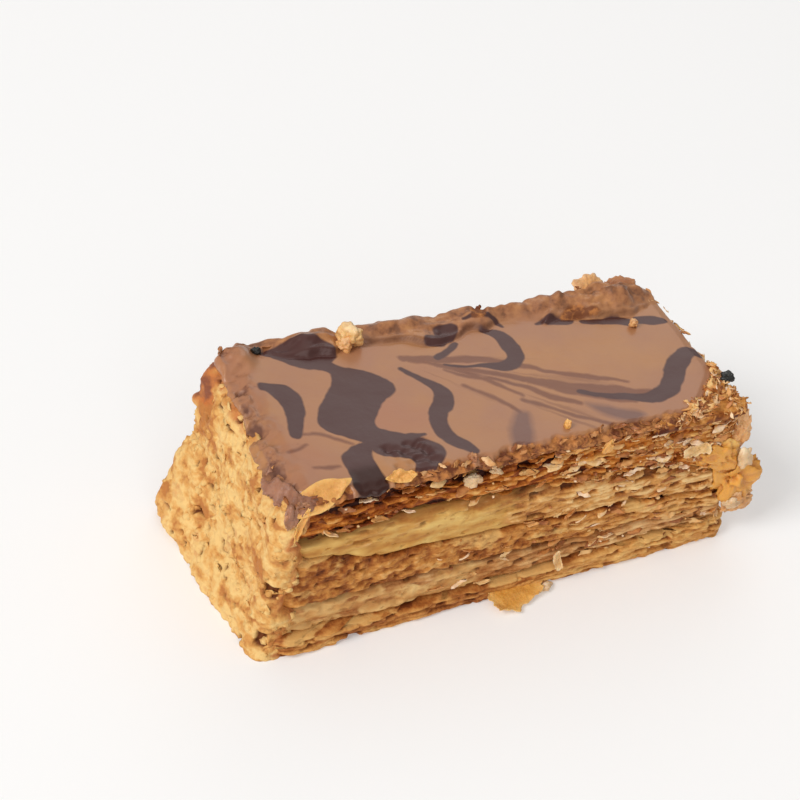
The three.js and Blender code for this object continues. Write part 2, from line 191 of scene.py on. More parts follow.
def curved(points, closed, pieces=5):  # a smooth curve through the points
    points = np.asarray(points, float)
    if closed:
        padded = np.concatenate([points[-1:], points, points[:2]])
    else:
        padded = np.concatenate([2 * points[:1] - points[1:2], points, 2 * points[-1:] - points[-2:-1]])
    a, b, c, d = padded[:-3], padded[1:-2], padded[2:-1], padded[3:]
    first, second, third = c - a, 2 * a - 5 * b + 4 * c - d, 3 * b - a - 3 * c + d
    runs = [0.5 * (2 * b + first * t + second * t**2 + third * t**3) for t in np.arange(pieces) / pieces]
    path = np.stack(runs, 1).reshape(-1, points.shape[1])
    return path if closed else np.concatenate([path, points[-1:]])


def beside(x, y, a, b):  # how far along the stretch from a to b each point lies, and how far off it
    ex, ey = b[0] - a[0], b[1] - a[1]
    t = np.clip(((x - a[0]) * ex + (y - a[1]) * ey) / max(ex * ex + ey * ey, 1e-9), 0, 1)
    return t, np.hypot(x - a[0] - ex * t, y - a[1] - ey * t)


def depthInLine(x, y, line):  # mm inside a drawn line, and less than nought outside it
    path = curved(line, False)
    best = np.full(x.shape, -99.0)
    for a, b in zip(path[:-1], path[1:]):
        t, gap = beside(x, y, a, b)
        best = np.maximum(best, a[2] + (b[2] - a[2]) * t - gap)
    return best


def depthInPatch(x, y, patch):  # mm inside a closed outline, and less than nought outside it
    path = curved(patch, True)
    nearest, inside = np.full(x.shape, 99.0), np.zeros(x.shape, bool)
    for a, b in zip(path, np.roll(path, -1, axis=0)):
        nearest = np.minimum(nearest, beside(x, y, a, b)[1])
        crosses = (a[1] > y) != (b[1] > y)
        inside ^= crosses & (x < a[0] + (y - a[1]) / (b[1] - a[1] + 1e-12) * (b[0] - a[0]))
    return np.where(inside, nearest, -nearest)


def deepest(x, y, shapes, depthIn=depthInLine):  # mm inside any of the shapes
    return np.max([depthIn(x, y, shape) for shape in shapes], axis=0)


def rimOf(rows, columns):  # the places round the edge of a grid of points, in order
    return np.concatenate([
        np.arange(columns),
        np.arange(1, rows) * columns + columns - 1,
        (rows - 1) * columns + np.arange(columns - 2, -1, -1),
        np.arange(rows - 2, 0, -1) * columns,
    ])


def slab(name, top, under, **attributes):  # a closed sheet between two grids of points, given in rows
    rows, columns = top.shape[:2]
    total = rows * columns
    quads, loop = gridFaces(rows, columns, closed=False), rimOf(rows, columns)
    after = np.roll(loop, -1)
    sides = np.stack([loop + total, after + total, after, loop], -1)
    faces = np.concatenate([quads, quads[:, ::-1] + total, sides])
    return makeObject(name, [top, under], faces, **attributes)


def slabWithin(top, under, keep):  # the same over the kept points only, and their places in the grid
    quads = gridFaces(*keep.shape, closed=False)
    quads = quads[keep.ravel()[quads].all(1)]
    edges = np.stack([quads, np.roll(quads, -1, axis=1)], -1).reshape(-1, 2)
    both = {tuple(edge) for edge in edges.tolist()}
    rim = [edge for edge in edges.tolist() if (edge[1], edge[0]) not in both]
    used = np.unique(quads)
    place = np.full(keep.size, -1)
    place[used] = np.arange(len(used))
    quads, total = place[quads], len(used)
    sides = [(place[a] + total, place[b] + total, place[b], place[a]) for a, b in rim]
    points = np.concatenate([top.reshape(-1, 3)[used], under.reshape(-1, 3)[used]])
    return points, quads.tolist() + (quads[:, ::-1] + total).tolist() + sides, used


def pebbles(a, b, size, seed):  # lumps pressed side by side: how high each stands and a shade of its own
    a, b = a / size, b / size
    i, j = np.floor(a), np.floor(b)
    nearest, shade = np.full(a.shape, 9.0), np.zeros(a.shape)
    for di in (-1, 0, 1):
        for dj in (-1, 0, 1):
            ci, cj = i + di, j + dj
            gapA = a - ci - 0.5 - 0.45 * grain(ci, cj, 0, seed)
            gapB = b - cj - 0.5 - 0.45 * grain(ci, cj, 1, seed)
            gap = np.hypot(gapA, gapB) / (0.8 + 0.3 * grain(ci, cj, 2, seed))
            shade = np.where(gap < nearest, grain(ci, cj, 3, seed), shade)
            nearest = np.minimum(gap, nearest)
    return 1 - np.minimum(nearest, 1) ** 2, shade


# Node trees

def tone(red, green, blue):  # a colour as seen, 0 to 255, as the linear colour that shaders take
    seen = [v / 255 for v in (red, green, blue)]
    return tuple(v / 12.92 if v <= 0.04045 else ((v + 0.055) / 1.055) ** 2.4 for v in seen) + (1.0,)


def fill(tree, node, inputs):  # links the sockets among the inputs, and sets the other values
    for key, value in inputs.items():
        if isinstance(value, bpy.types.NodeSocket):
            tree.links.new(value, node.inputs[key])
        elif value is not None:
            node.inputs[key].default_value = value
    return node


def put(tree, kind, inputs=None, **settings):
    made = tree.nodes.new(kind)
    for key, value in settings.items():
        setattr(made, key, value)
    return fill(tree, made, inputs or {})


def calc(tree, operation, *values):
    return put(tree, "ShaderNodeMath", dict(enumerate(values)), operation=operation).outputs[0]


def times(tree, first, *others):
    for other in others:
        first = calc(tree, "MULTIPLY", first, other)
    return first


def plus(tree, first, *others):
    for other in others:
        first = calc(tree, "ADD", first, other)
    return first


def weighed(tree, *terms):  # the sum of values, each times its weight
    total = 0.0
    for value, weight in terms:
        total = calc(tree, "MULTIPLY_ADD", value, weight, total)
    return total


def spread(tree, value, low, high, toLow=0.0, toHigh=1.0):  # maps one range to another, held at its ends
    inputs = {"Value": value, "From Min": low, "From Max": high, "To Min": toLow, "To Max": toHigh}
    return put(tree, "ShaderNodeMapRange", inputs).outputs[0]


def swing(tree, noise, most=1.0):  # a noise as a value about nought
    return spread(tree, noise, 0.3, 0.7, -most, most)


def noiseIn(tree, vector, scale, detail=2.0, w=None, rough=0.5):
    kind = {"noise_dimensions": "4D"} if w is not None else {}
    inputs = {"Vector": vector, "Scale": scale, "Detail": detail, "Roughness": rough}
    if w is not None:
        inputs["W"] = w
    return put(tree, "ShaderNodeTexNoise", inputs, **kind).outputs[0]


def growTree(name, sizes):  # a Geometry Nodes tree with a named input for each size
    tree = bpy.data.node_groups.new(name, "GeometryNodeTree")
    tree.interface.new_socket("Geometry", in_out="INPUT", socket_type="NodeSocketGeometry")
    for label, (kind, value) in sizes.items():
        made = tree.interface.new_socket(label, in_out="INPUT", socket_type="NodeSocket" + kind)
        if value is not None:
            made.default_value = value
    tree.interface.new_socket("Geometry", in_out="OUTPUT", socket_type="NodeSocketGeometry")
    return tree, put(tree, "NodeGroupInput").outputs


def grow(piece, tree, sizes):  # runs the tree on the piece and keeps the result as its plain mesh
    modifier = piece.modifiers.new(tree.name, "NODES")
    modifier.node_group = tree
    for item in tree.interface.items_tree:
        if item.in_out == "INPUT" and item.name in sizes:
            modifier[item.identifier] = sizes[item.name]
    piece.update_tag()
    graph = bpy.context.evaluated_depsgraph_get()
    mesh = bpy.data.meshes.new_from_object(piece.evaluated_get(graph))
    piece.modifiers.remove(modifier)
    piece.data = mesh
    return piece


def valueOf(tree, name, kind="FLOAT"):  # a named attribute, in a Geometry Nodes tree
    return put(tree, "GeometryNodeInputNamedAttribute", {"Name": name}, data_type=kind).outputs[0]


def marked(tree, geometry, name, value):  # gives each instance a value of its own
    inputs = {"Geometry": geometry, "Name": name, "Value": value}
    kind = {"data_type": "FLOAT", "domain": "INSTANCE"}
    return put(tree, "GeometryNodeStoreNamedAttribute", inputs, **kind).outputs[0]


def realized(tree, geometry):
    return put(tree, "GeometryNodeRealizeInstances", {"Geometry": geometry}).outputs[0]


def finishTree(tree, geometry, material):
    inputs = {"Geometry": realized(tree, geometry), "Material": material}
    put(tree, "NodeGroupOutput", {0: put(tree, "GeometryNodeSetMaterial", inputs).outputs[0]})
    return tree


def paint(name):  # a new material: its tree, its shader and the object's own coordinates
    material = bpy.data.materials.new(name)
    material.use_nodes = True
    tree = material.node_tree
    tree.nodes.clear()
    shader = put(tree, "ShaderNodeBsdfPrincipled")
    put(tree, "ShaderNodeOutputMaterial", {"Surface": shader.outputs[0]})
    return material, tree, shader, put(tree, "ShaderNodeTexCoord").outputs["Object"]


def finish(tree, shader, colour, roughness, specular, height, depth):  # depth of the bump in metres
    bump = put(tree, "ShaderNodeBump", {"Height": height, "Distance": depth, "Strength": 1.0}).outputs[0]
    fill(tree, shader, {
        "Base Color": colour, "Roughness": roughness, "Specular IOR Level": specular, "Normal": bump,
    })


def attribute(tree, name):  # a named attribute, in a material
    return put(tree, "ShaderNodeAttribute", attribute_name=name).outputs["Fac"]


def stretched(tree, place, scale):
    return put(tree, "ShaderNodeMapping", {"Vector": place, "Scale": scale}).outputs[0]


def acrossOf(tree, place):  # how far to the right
    return put(tree, "ShaderNodeSeparateXYZ", {"Vector": place}).outputs["X"]


def ramp(tree, value, stops):  # colours by value: (place, colour) pairs
    made = put(tree, "ShaderNodeValToRGB", {"Fac": value})
    elements = made.color_ramp.elements
    for n, (place, colour) in enumerate(stops):
        element = elements[n] if n < 2 else elements.new(place)
        element.position, element.color = place, colour
    return made.outputs["Color"]


def mixed(tree, factor, first, second):
    return put(tree, "ShaderNodeMix", {0: factor, 6: first, 7: second}, data_type="RGBA").outputs[2]


def ready(piece, material, replaced=(), leaned=True):  # settles a piece and enters it in the frame
    settle(piece, leaned)
    if material is not None:
        piece.data.materials.clear()
        piece.data.materials.append(material)
    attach(piece, "root")
    if replaced:
        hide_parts(*replaced)
    print(piece.name, len(piece.data.polygons), "faces")


# Camera, at the photograph's angle

camera = {
    "at": (-189.0, -269.75, 284.35),  # mm from the block's own origin
    "azimuth": -32.09,
    "elevation": 37.4,
    "roll": 10.0,
    "lens": 85.0,
}


def makeCamera():
    data = bpy.data.cameras.new("camera")
    data.lens, data.sensor_width = camera["lens"], 36.0
    data.clip_start, data.clip_end = 0.01, 20
    made = linked("camera", data)
    az, el, roll = (math.radians(camera[key]) for key in ("azimuth", "elevation", "roll"))
    behind = Vector((math.sin(az) * math.cos(el), -math.cos(az) * math.cos(el), math.sin(el)))
    level = Vector((math.cos(az), math.sin(az), 0))
    upright = level.cross(-behind)
    sideways = level * math.cos(roll) + upright * math.sin(roll)
    upward = upright * math.cos(roll) - level * math.sin(roll)
    turn = Matrix((sideways, upward, behind)).transposed().to_4x4()
    x, y, z = camera["at"]
    spot = Vector((x + block["middle"][0], y + block["middle"][1], z)) * mm
    made.matrix_world = Matrix.Translation(spot) @ turn
    bpy.context.scene.camera = made


makeCamera()
print("camera set")


# Pastry sheets: a baked, crumbly body with thin leaves standing out of it

pastryLook = {
    "roughness": 0.6,
    "specular": 0.2,
    "streaks": 260.0,  # noise scales, per metre
    "patches": 85.0,
    "specks": 1300.0,
    "cream": tone(222, 174, 104),  # filling dragged over the cut by the knife
    "lighterRight": 0.22,  # how much paler the cut gets towards the right end
}


def bakedColour(tree, place, palette):  # painted shade: brown where the cut is deep, golden where it stands out; the palest stop is a painted highlight
    streaks = noiseIn(tree, stretched(tree, place, (1.0, 1.0, 3.0)), pastryLook["streaks"], 4.0, rough=0.6)
    patches = noiseIn(tree, place, pastryLook["patches"], 2.0)
    specks = noiseIn(tree, place, pastryLook["specks"], 3.0, rough=0.7)
    toRight = spread(tree, acrossOf(tree, place), -0.01, 0.05, 0, pastryLook["lighterRight"])
    # reach paints shade into the recesses and light onto the proud leaves
    light = weighed(
        tree, (attribute(tree, "reach"), 0.62), (attribute(tree, "tint"), 0.2), (swing(tree, streaks), 0.16),
        (swing(tree, patches), 0.1), (swing(tree, specks), 0.08), (toRight, 1.0),
        # painted shade under the icing's edge
        (attribute(tree, "deep"), -0.34),
    )
    return ramp(tree, light, list(zip((0.04, 0.26, 0.5, 0.82), palette))), streaks, specks


def pastryMaterial(name, palette):
    material, tree, shader, place = paint(name)
    colour, streaks, specks = bakedColour(tree, place, palette)
    smear = spread(tree, plus(tree, attribute(tree, "cream"), swing(tree, streaks, 0.35)), 0.35, 0.7, 0, 0.8)
    colour = mixed(tree, smear, colour, pastryLook["cream"])
    bumps = plus(tree, streaks, specks)
    finish(tree, shader, colour, pastryLook["roughness"], pastryLook["specular"], bumps, 0.00012)
    return material


leafSizes = {  # named inputs of the tree, and their usual values
    "leaf": ("Object", None),
    "leaves": ("Int", 6),
    "thickness": ("Float", 0.3),
    "raggedness": ("Float", 1.0),
    "tears": ("Float", 2.2),
    "tornShare": ("Float", 0.4),
    "waviness": ("Float", 0.55),
    "curl": ("Float", 0.7),
    "seed": ("Float", 0.0),
    "material": ("Material", None),
}


def leafTree():  # copies one leaf up the sheet and gives each its own ragged, wavy edge
    tree, given = growTree("leafStack", leafSizes)
    heights = put(tree, "GeometryNodePoints", {"Count": given["leaves"]}).outputs[0]
    leaf = put(tree, "GeometryNodeObjectInfo", {"Object": given["leaf"]}).outputs["Geometry"]
    stack = put(tree, "GeometryNodeInstanceOnPoints", {"Points": heights, "Instance": leaf}).outputs[0]
    loose = realized(tree, marked(tree, stack, "leaf", put(tree, "GeometryNodeInputIndex").outputs[0]))
    place = put(tree, "GeometryNodeInputPosition").outputs[0]
    number, reach, side, free = (valueOf(tree, name) for name in ("leaf", "reach", "side", "free"))
    own = calc(tree, "MULTIPLY_ADD", number, 5.37, given["seed"])  # a place of its own in the noise

    def wander(scale, detail, amount, offset):  # noise about nought
        value = noiseIn(tree, place, scale, detail, w=plus(tree, own, offset))
        return times(tree, calc(tree, "SUBTRACT", value, 0.5), amount)

    edge = plus(tree, wander(0.15, 2.0, 5.0, 0.0), wander(0.6, 3.0, 3.0, 11.0))
    edge = times(tree, edge, given["raggedness"])
    tearing = noiseIn(tree, place, 0.1, 2.0, w=plus(tree, own, 23.0))
    torn = spread(tree, tearing, given["tornShare"], plus(tree, given["tornShare"], 0.1), 1.0, 0.0)
    edge = times(tree, calc(tree, "SUBTRACT", edge, times(tree, torn, given["tears"])), reach, free)
    outward = {0: valueOf(tree, "outward", "FLOAT_VECTOR"), "Scale": edge}
    outward = put(tree, "ShaderNodeVectorMath", outward, operation="SCALE").outputs[0]

    jitter = put(tree, "ShaderNodeTexWhiteNoise", {"W": own}, noise_dimensions="1D").outputs[0]
    share = plus(tree, number, spread(tree, jitter, 0, 1, 0.15, 0.85))
    share = calc(tree, "DIVIDE", share, given["leaves"])
    low, high = valueOf(tree, "floorZ"), valueOf(tree, "roofZ")
    z = calc(tree, "MULTIPLY_ADD", calc(tree, "SUBTRACT", high, low), share, low)
    wave = plus(tree, wander(0.055, 1.0, 4.4, 31.0), wander(0.3, 1.0, 1.5, 37.0))
    wave = times(tree, wave, given["waviness"], free)
    curl = times(tree, wander(0.2, 1.0, 5.0, 47.0), times(tree, reach, reach), given["curl"])
    half = calc(tree, "MULTIPLY_ADD", wander(0.35, 1.0, 2.4, 59.0), given["thickness"], given["thickness"])
    body = times(tree, side, calc(tree, "MAXIMUM", half, 0.1))
    lifted = {"Z": plus(tree, z, wave, curl, body, wander(1.7, 2.0, 0.6, 71.0))}
    lifted = put(tree, "ShaderNodeCombineXYZ", lifted).outputs[0]
    for move in (outward, lifted):
        place = put(tree, "ShaderNodeVectorMath", {0: place, 1: move}, operation="ADD").outputs[0]
    shaped = put(tree, "GeometryNodeSetPosition", {"Geometry": loose, "Position": place}).outputs[0]
    joined = put(tree, "GeometryNodeJoinGeometry", {0: shaped})
    tree.links.new(given["Geometry"], joined.inputs[0])
    return finishTree(tree, joined.outputs[0], given["material"])


layerCuts = ((2.6, 2.6), (2.6, 2.6), (3.0, 2.0), (5.0, 3.0))  # front right, back right, back left, front left
leafSection = (  # reach and side of the points round a leaf's edge, from under its root to over it
    (0.0, -0.7), (0.6, -1.0), (0.9, -0.8), (1.0, 0.0), (0.9, 0.8), (0.6, 1.0), (0.0, 0.7),
)


def sheetEdges(x, low, high):  # under and upper side of a layer at x
    floor = levelAt(low, x) + (0 if low == "floor" else block["gap"] / 2)
    return floor, levelAt(high, x) - block["gap"] / 2


def leafOf(name, sheet):
    x, y, nx, ny = outlineOf(layerLeft, right, front, back, layerCuts, sheet["leafStep"])
    free = between(x, layerLeft + 1.0, layerLeft + 4)
    reaches, sides = np.repeat(np.array(leafSection).T, len(x), axis=1)
    floor, roof = sheetEdges(x, sheet["low"], sheet["high"])
    rows = []
    for reach, side in leafSection:
        inset = -sheet["leafDepth"] * (1 - reach) - 0.9 * (1 - free) * reach + sheet["leafOut"] * reach
        rows.append(np.stack([x + nx * inset, y + ny * inset, 0 * x], -1))
    around = {
        "free": free, "floorZ": floor, "roofZ": roof,
        "cream": between(grain(x / 9, y / 9, 0.5, 7), 0.1, 0.8) * 0.3,
        # painted shade on the leaves at the front left, under the icing's edge
        "deep": 0.6 * sheet["deep"] * between(-x, -12, 16) * (y < 0),
        "tint": grain(x / 5, y / 5, 0.5, 9),
    }
    around = {label: np.tile(values, len(rows)) for label, values in around.items()}
    outward = np.tile(np.stack([nx, ny, 0 * x], -1), (len(rows), 1))
    faces = gridFaces(len(rows), len(x), closedRows=True)
    return makeObject(name, rows, faces, reach=reaches, side=sides, outward=outward, **around)


def pressedLeaves(x, y, z, seed, pitch):  # how far each pressed leaf stands out of the cut, and its own shade
    wavy = z + 0.9 * grain(x / 9, y / 9, 0.3, seed) + 0.4 * grain(x / 3, y / 3, z / 5, seed + 1)
    place = wavy / pitch + 0.45 * grain(x / 7, y / 7, wavy / 2.4, seed + 2)
    leaf = np.floor(place)
    within = 2 * (place - leaf) - 1
    out = 0.55 * grain(x / 5, y / 5, leaf, seed + 3) + 0.34 * grain(x / 1.9, y / 1.9, leaf, seed + 4)
    out += 0.12 * grain(x / 0.8, y / 0.8, leaf, seed + 5) - 0.3 * within**6
    out -= 1.3 * between(grain(x / 3.8, y / 3.8, leaf, seed + 6), 0.44, 0.62)
    return out, grain(x / 5, y / 5, leaf, seed + 7)


def dough(x, y, z, seed):  # the crumbly closed parts of the cut, with pits
    lumps = layered(
        x, y, z, (0.55, 2, 2, 1.7, seed), (0.42, 1, 1, 0.9, seed + 1), (0.12, 0.6, 0.6, 0.5, seed + 3),
    )
    return lumps - 1.1 * between(grain(x / 1.7, y / 1.7, z / 1.1, seed + 2), 0.42, 0.66)


def bodyOf(name, sheet):  # the sheet's cut face
    x, y, nx, ny = outlineOf(layerLeft, right, front, back, layerCuts, sheet["step"])
    floor, roof = sheetEdges(x, sheet["low"], sheet["high"])
    seed = int(sheet["seed"])
    free = between(x, layerLeft + 0.5, layerLeft + 3.5)
    layering = sheet["layering"] + (1 - sheet["layering"]) * between(x, 0, 25)
    rings, reaches, creams, tints, deeps = [], [], [], [], []
    for share in np.linspace(0, 1, sheet["rows"]):
        z = floor + (roof - floor) * share
        leaves, tint = pressedLeaves(x, y, z, seed, sheet["pitch"])
        rough = layering * leaves + (1 - layering) * dough(x, y, z, seed + 20)
        ends = sheet["ends"] * abs(2 * share - 1) ** 8
        # deep sinks the top rows at the front left and paints shade on them, the shade under the icing's edge
        deep = sheet["deep"] * between(share, 0.35, 0.8) * between(-x, -12, 16) * (1 - between(y, 10, 20))
        out = sheet["out"] + sheet["outLeft"] * between(-x, 20, 50) + rough * (0.25 + 0.75 * free)
        out = out - ends - 0.6 * (1 - free) - deep
        rings.append(np.stack([x + nx * out, y + ny * out, z], -1))
        # painted shade: reach is lower where the cut sinks in, in the leaves' gaps and along the sheet's top
        # and bottom edges
        reaches.append(np.clip(0.6 + 0.5 * rough - 0.3 * ends, 0, 1))
        nearTop = between(share, 0.55, 1) * (sheet["high"] != "topPastry")
        cream = between(grain(x / 6, y / 6, z / 2.5, seed + 30) + 0.5 * nearTop, 0.2, 0.9)
        creams.append(cream * sheet["smeared"])
        tints.append(tint * layering)
        deeps.append(deep)
    return ringBody(name, rings, reach=reaches, cream=creams, tint=tints, deep=deeps)


# deep sets how far the top pastry sinks at the front left and how much painted shade lies there under the
# icing's edge
pastrySheets = {
    "bottomPastry": dict(node="bottom_pastry", low="floor", high="bottomPastry", seed=3.0, step=0.36,
        rows=34, pitch=0.85, layering=0.9, smeared=0.9, out=1.4, outLeft=0.7, ends=0.5, leaves=3,
        leafStep=0.45, leafDepth=3.0, leafOut=1.0, thickness=0.3, raggedness=0.5, tears=2.0, tornShare=0.5,
        waviness=0.2, curl=0.3,
        palette=(tone(108, 50, 16), tone(168, 100, 44), tone(208, 146, 76), tone(234, 186, 112)),
        deep=0.0),
    "middlePastry": dict(node="middle_pastry", low="lowerFilling", high="middlePastry", seed=140.0,
        step=0.36, rows=56, pitch=0.95, layering=0.15, smeared=0.7, out=0.45, outLeft=0.4, ends=0.7,
        leaves=3, leafStep=0.45, leafDepth=3.0, leafOut=0.0, thickness=0.3, raggedness=0.7, tears=2.6,
        tornShare=0.5, waviness=0.3, curl=0.4,
        palette=(tone(84, 32, 6), tone(154, 86, 32), tone(204, 139, 68), tone(238, 194, 128)), deep=0.0),
    "topPastry": dict(node="top_pastry", low="upperFilling", high="topPastry", seed=300.0, step=0.42,
        rows=70, pitch=1.15, layering=1.0, smeared=0.4, out=-0.5, outLeft=0.0, ends=1.2, leaves=7,
        leafStep=0.45, leafDepth=3.4, leafOut=0.0, thickness=0.24, raggedness=0.8, tears=3.0,
        tornShare=0.45, waviness=0.5, curl=0.6,
        palette=(tone(54, 14, 2), tone(146, 68, 14), tone(206, 124, 44), tone(240, 184, 106)), deep=1.0),
}


def makePastry():
    tree = leafTree()
    for name, sheet in pastrySheets.items():
        leaf, piece = leafOf(name + "Leaf", sheet), bodyOf(name, sheet)
        material = pastryMaterial(name + "Baked", sheet["palette"])
        grow(piece, tree, sheet | {"leaf": leaf, "material": material})
        bpy.data.objects.remove(leaf)
        ready(piece, None, [sheet["node"]])


makePastry()


heaps = {  # torn leaves and crumbs beside the icing: their outlines over the block, in mm, and heights
    "rightHeap": {
        "patch": [(33.0, -23.4), (56.0, -23.4), (56.9, -16.0), (57.2, -6.0), (54.0, -7.0), (51.5, -11.5),
                  (47.0, -16.0), (40.0, -20.4)],
        "span": (30, 58), "height": 40.6, "step": 0.65, "ragged": 0.5,
    },
    "leftHeap": {
        "patch": [(-55.0, -23.4), (-49.0, -23.4), (-51.0, -20.0), (-53.6, -16.6), (-54.8, -10.4),
                  (-56.4, -10.4), (-57.4, -14.0), (-57.2, -17.0), (-56.0, -20.0)],
        "span": (-59, -47), "height": 40.2, "step": 0.3, "ragged": 1.0,
    },
}
heapFoot, heapUnder = 38.8, 38.4  # how low their rims and their undersides lie


def heapOf(name, spacing):  # its surface, and how deep inside its outline each point is
    heap = heaps[name]
    x, y = np.meshgrid(np.arange(*heap["span"], spacing), np.arange(front - 1.2, -3, spacing))
    cover = depthInPatch(x, y, heap["patch"]) + heap["ragged"] * grain(x / 1.8, y / 1.8, 1, 41)
    steps = 1.5 * between(cover, 0, 2.5) + layered(x, y, 1, (1.1, 4.2, 3.4, 1, 42), (0.5, 1.6, 1.4, 1, 43))
    z = heap["height"] + heap["step"] * np.floor(steps / heap["step"]) + 0.2 * grain(x / 0.8, y / 0.8, 1, 44)
    return np.stack([x, y, heapFoot + (z - heapFoot) * between(cover, -0.7, 0.3)], -1), cover


def makeHeap(name, material, node):
    top, cover = heapOf(name, 0.36)
    x, y, z = np.moveaxis(top, -1, 0)
    under = np.stack([x, y, np.full_like(z, heapUnder)], -1)
    points, faces, used = slabWithin(top, under, cover > -0.9)
    # painted shade: the lower tiers get less reach and so a darker colour than the higher ones
    reach = np.clip(0.45 + 0.24 * (z - 40.6) + 0.3 * grain(x / 1.4, y / 1.4, 1, 45), 0, 1)
    tint = grain(x / 3, y / 3, np.floor(z / 0.65), 46)
    reach, tint = (np.tile(values.ravel()[used], 2) for values in (reach, tint))
    ready(makeObject(name, points, faces, reach=reach, tint=tint), material, [node])


heapMaterial = pastryMaterial("heapBaked", pastrySheets["middlePastry"]["palette"])
makeHeap("rightHeap", heapMaterial, "top_pastry")


# Fillings: soft bands between the sheets, dragged along by the knife

# each filling's dark colour is for the painted shadow under the sheet above; topShade sets how strong that
# shadow is and how far the top sinks
fillings = {
    "lowerFilling": dict(node="lower_filling", slot="caramel_filling", low="bottomPastry",
        high="lowerFilling", seed=51, out=0.0, crumbly=0.55, gloom=tone(112, 56, 20), topShade=0.9,
        flakyFrom=-16.0, rows=52, pitch=0.95, patchy=0.85, dark=tone(172, 108, 54),
        base=tone(206, 152, 88), light=tone(232, 190, 124),
        palette=(tone(88, 38, 10), tone(160, 94, 42), tone(198, 140, 82), tone(234, 192, 134))),
    "upperFilling": dict(node="upper_filling", slot="custard_filling", low="middlePastry",
        high="upperFilling", seed=53, out=0.1, crumbly=0.0, gloom=tone(112, 56, 20), topShade=0.5,
        flakyFrom=-10.0, rows=48, pitch=1.0, patchy=0.45, dark=tone(172, 108, 46), base=tone(205, 151, 76),
        light=tone(229, 190, 112),
        palette=(tone(84, 34, 8), tone(160, 92, 38), tone(212, 150, 80), tone(242, 204, 142))),
}


def fillingMaterial(name, look):
    material, tree, shader, place = paint(name)
    smears = noiseIn(tree, stretched(tree, place, (0.8, 0.8, 2.4)), 150.0, 3.0, rough=0.5)
    creamy = ramp(tree, smears, [(0.28, look["dark"]), (0.45, look["base"]), (0.66, look["light"])])
    specks = spread(tree, noiseIn(tree, place, 700.0, 2.0), 0.64, 0.74, 0, 0.6)
    creamy = mixed(tree, specks, creamy, look["dark"])
    baked, streaks, fine = bakedColour(tree, place, look["palette"])
    amount = plus(tree, attribute(tree, "flaky"), swing(tree, streaks, 0.25))
    colour = mixed(tree, spread(tree, amount, 0.3, 0.7, 0, 0.9), creamy, baked)
    # painted shadow: a dark band along the top of the filling, under the sheet above
    colour = mixed(tree, times(tree, attribute(tree, "gloom"), 0.85), colour, look["gloom"])
    finish(tree, shader, colour, 0.5, pastryLook["specular"], smears, 0.0004)
    return material


def makeFilling(name, look):
    x, y, nx, ny = outlineOf(layerLeft, right, front, back, layerCuts, 0.4)
    floor, roof = sheetEdges(x, look["low"], look["high"])
    seed, flakyFrom = look["seed"], look["flakyFrom"]
    free = between(x, layerLeft + 0.5, layerLeft + 3.5)
    rings, flakies, reaches, tints, glooms = [], [], [], [], []
    for share in np.linspace(0, 1, look["rows"]):
        z = floor + (roof - floor) * share
        swell = look["out"] - 0.9 * abs(2 * share - 1) ** 8 - 0.9 * look["topShade"] * between(share, 0.78, 1)
        drag = layered(
            x, y, z, (0.45, 9, 9, 2.4, seed), (0.3, 2.8, 2.8, 1.3, seed + 1), (0.1, 0.9, 0.9, 0.7, seed + 2),
        )
        nick = between(grain(x / 1.8, y / 1.8, z / 0.9, seed + 3), 0.6, 0.85)
        leaves, tint = pressedLeaves(x, y, z, seed + 40, look["pitch"])
        patchy = look["patchy"] * between(grain(x / 4, y / 4, z / 1.7, seed + 5), 0.1, 0.6)
        toRight = between(x + 3 * grain(x / 4, y / 4, z / 2, seed + 6), flakyFrom, flakyFrom + 16)
        flaky = np.maximum(toRight, patchy)
        smooth = drag - 0.6 * nick + look["crumbly"] * between(-x, -8, 14) * dough(x, y, z, seed + 10)
        out = swell + (smooth * (1 - flaky) + 0.85 * leaves * flaky) * free - 0.5 * (1 - free)
        rings.append(np.stack([x + nx * out, y + ny * out, z], -1))
        flakies.append(flaky * free)
        # painted shade: the leaves that stand out are lighter, the gaps between them darker
        reaches.append(np.clip(0.62 + 0.5 * leaves, 0, 1))
        tints.append(tint)
        # painted shadow under the sheet above, along the filling's top edge
        nearTop = between(share + 0.06 * grain(x / 3, y / 3, 1, seed + 8), 0.84, 0.97)
        glooms.append(look["topShade"] * nearTop * (1 - 0.7 * between(x, 0, 20)))
    piece = ringBody(name, rings, flaky=flakies, reach=reaches, tint=tints, gloom=glooms)
    ready(piece, fillingMaterial(name + "Cream", look), [look["node"]])


for name, look in fillings.items():
    makeFilling(name, look)


# Icing: a poured sheet with a raised crust along the back, and dark lines drawn through it

icingShape = {
    "spacing": 0.34,  # of the points on its top
    "leftInset": 0.9,
    "rightInset": 2.2,
    "swell": 0.22,
    "skirt": 1.6,  # how far it hangs at the front left corner
    "droop": 0.9,  # how far the broad dark tongue bends down to the front
}
crustAlong = {  # the raised back edge: at x, its reach from the back, its height and how steeply it starts
    "x": (-52, -47, -43, -38, -33, -28, -25, -19, -12, -6, 0, 5, 10, 14, 21, 27, 32, 36, 40, 46, 50, 54),
    "reach": (2.5, 2.5, 3.5, 5, 6.2, 6.6, 5.6, 4.4, 5.6, 8, 8, 5.6, 5.4, 4.5, 5, 6.2, 6.6, 7, 8, 8.2, 7, 5),
    "height": (0.6, -0.6, -0.4, 0.8, 2.3, 2.2, 1.5, 1.7, 2.2, 2.2, 2.0,
               2.2, 2.7, 2.3, 2.2, 2.4, 3.1, 4.3, 4.7, 4.4, 2.6, 0.8),
    "steep": (0.2, 0.3, 0.5, 0.65, 0.7, 0.65, 0.4, 0.5, 0.6, 0.6, 0.5,
              0.6, 0.6, 0.2, 0.12, 0.3, 0.6, 0.6, 0.4, 0.35, 0.3, 0.2),
}
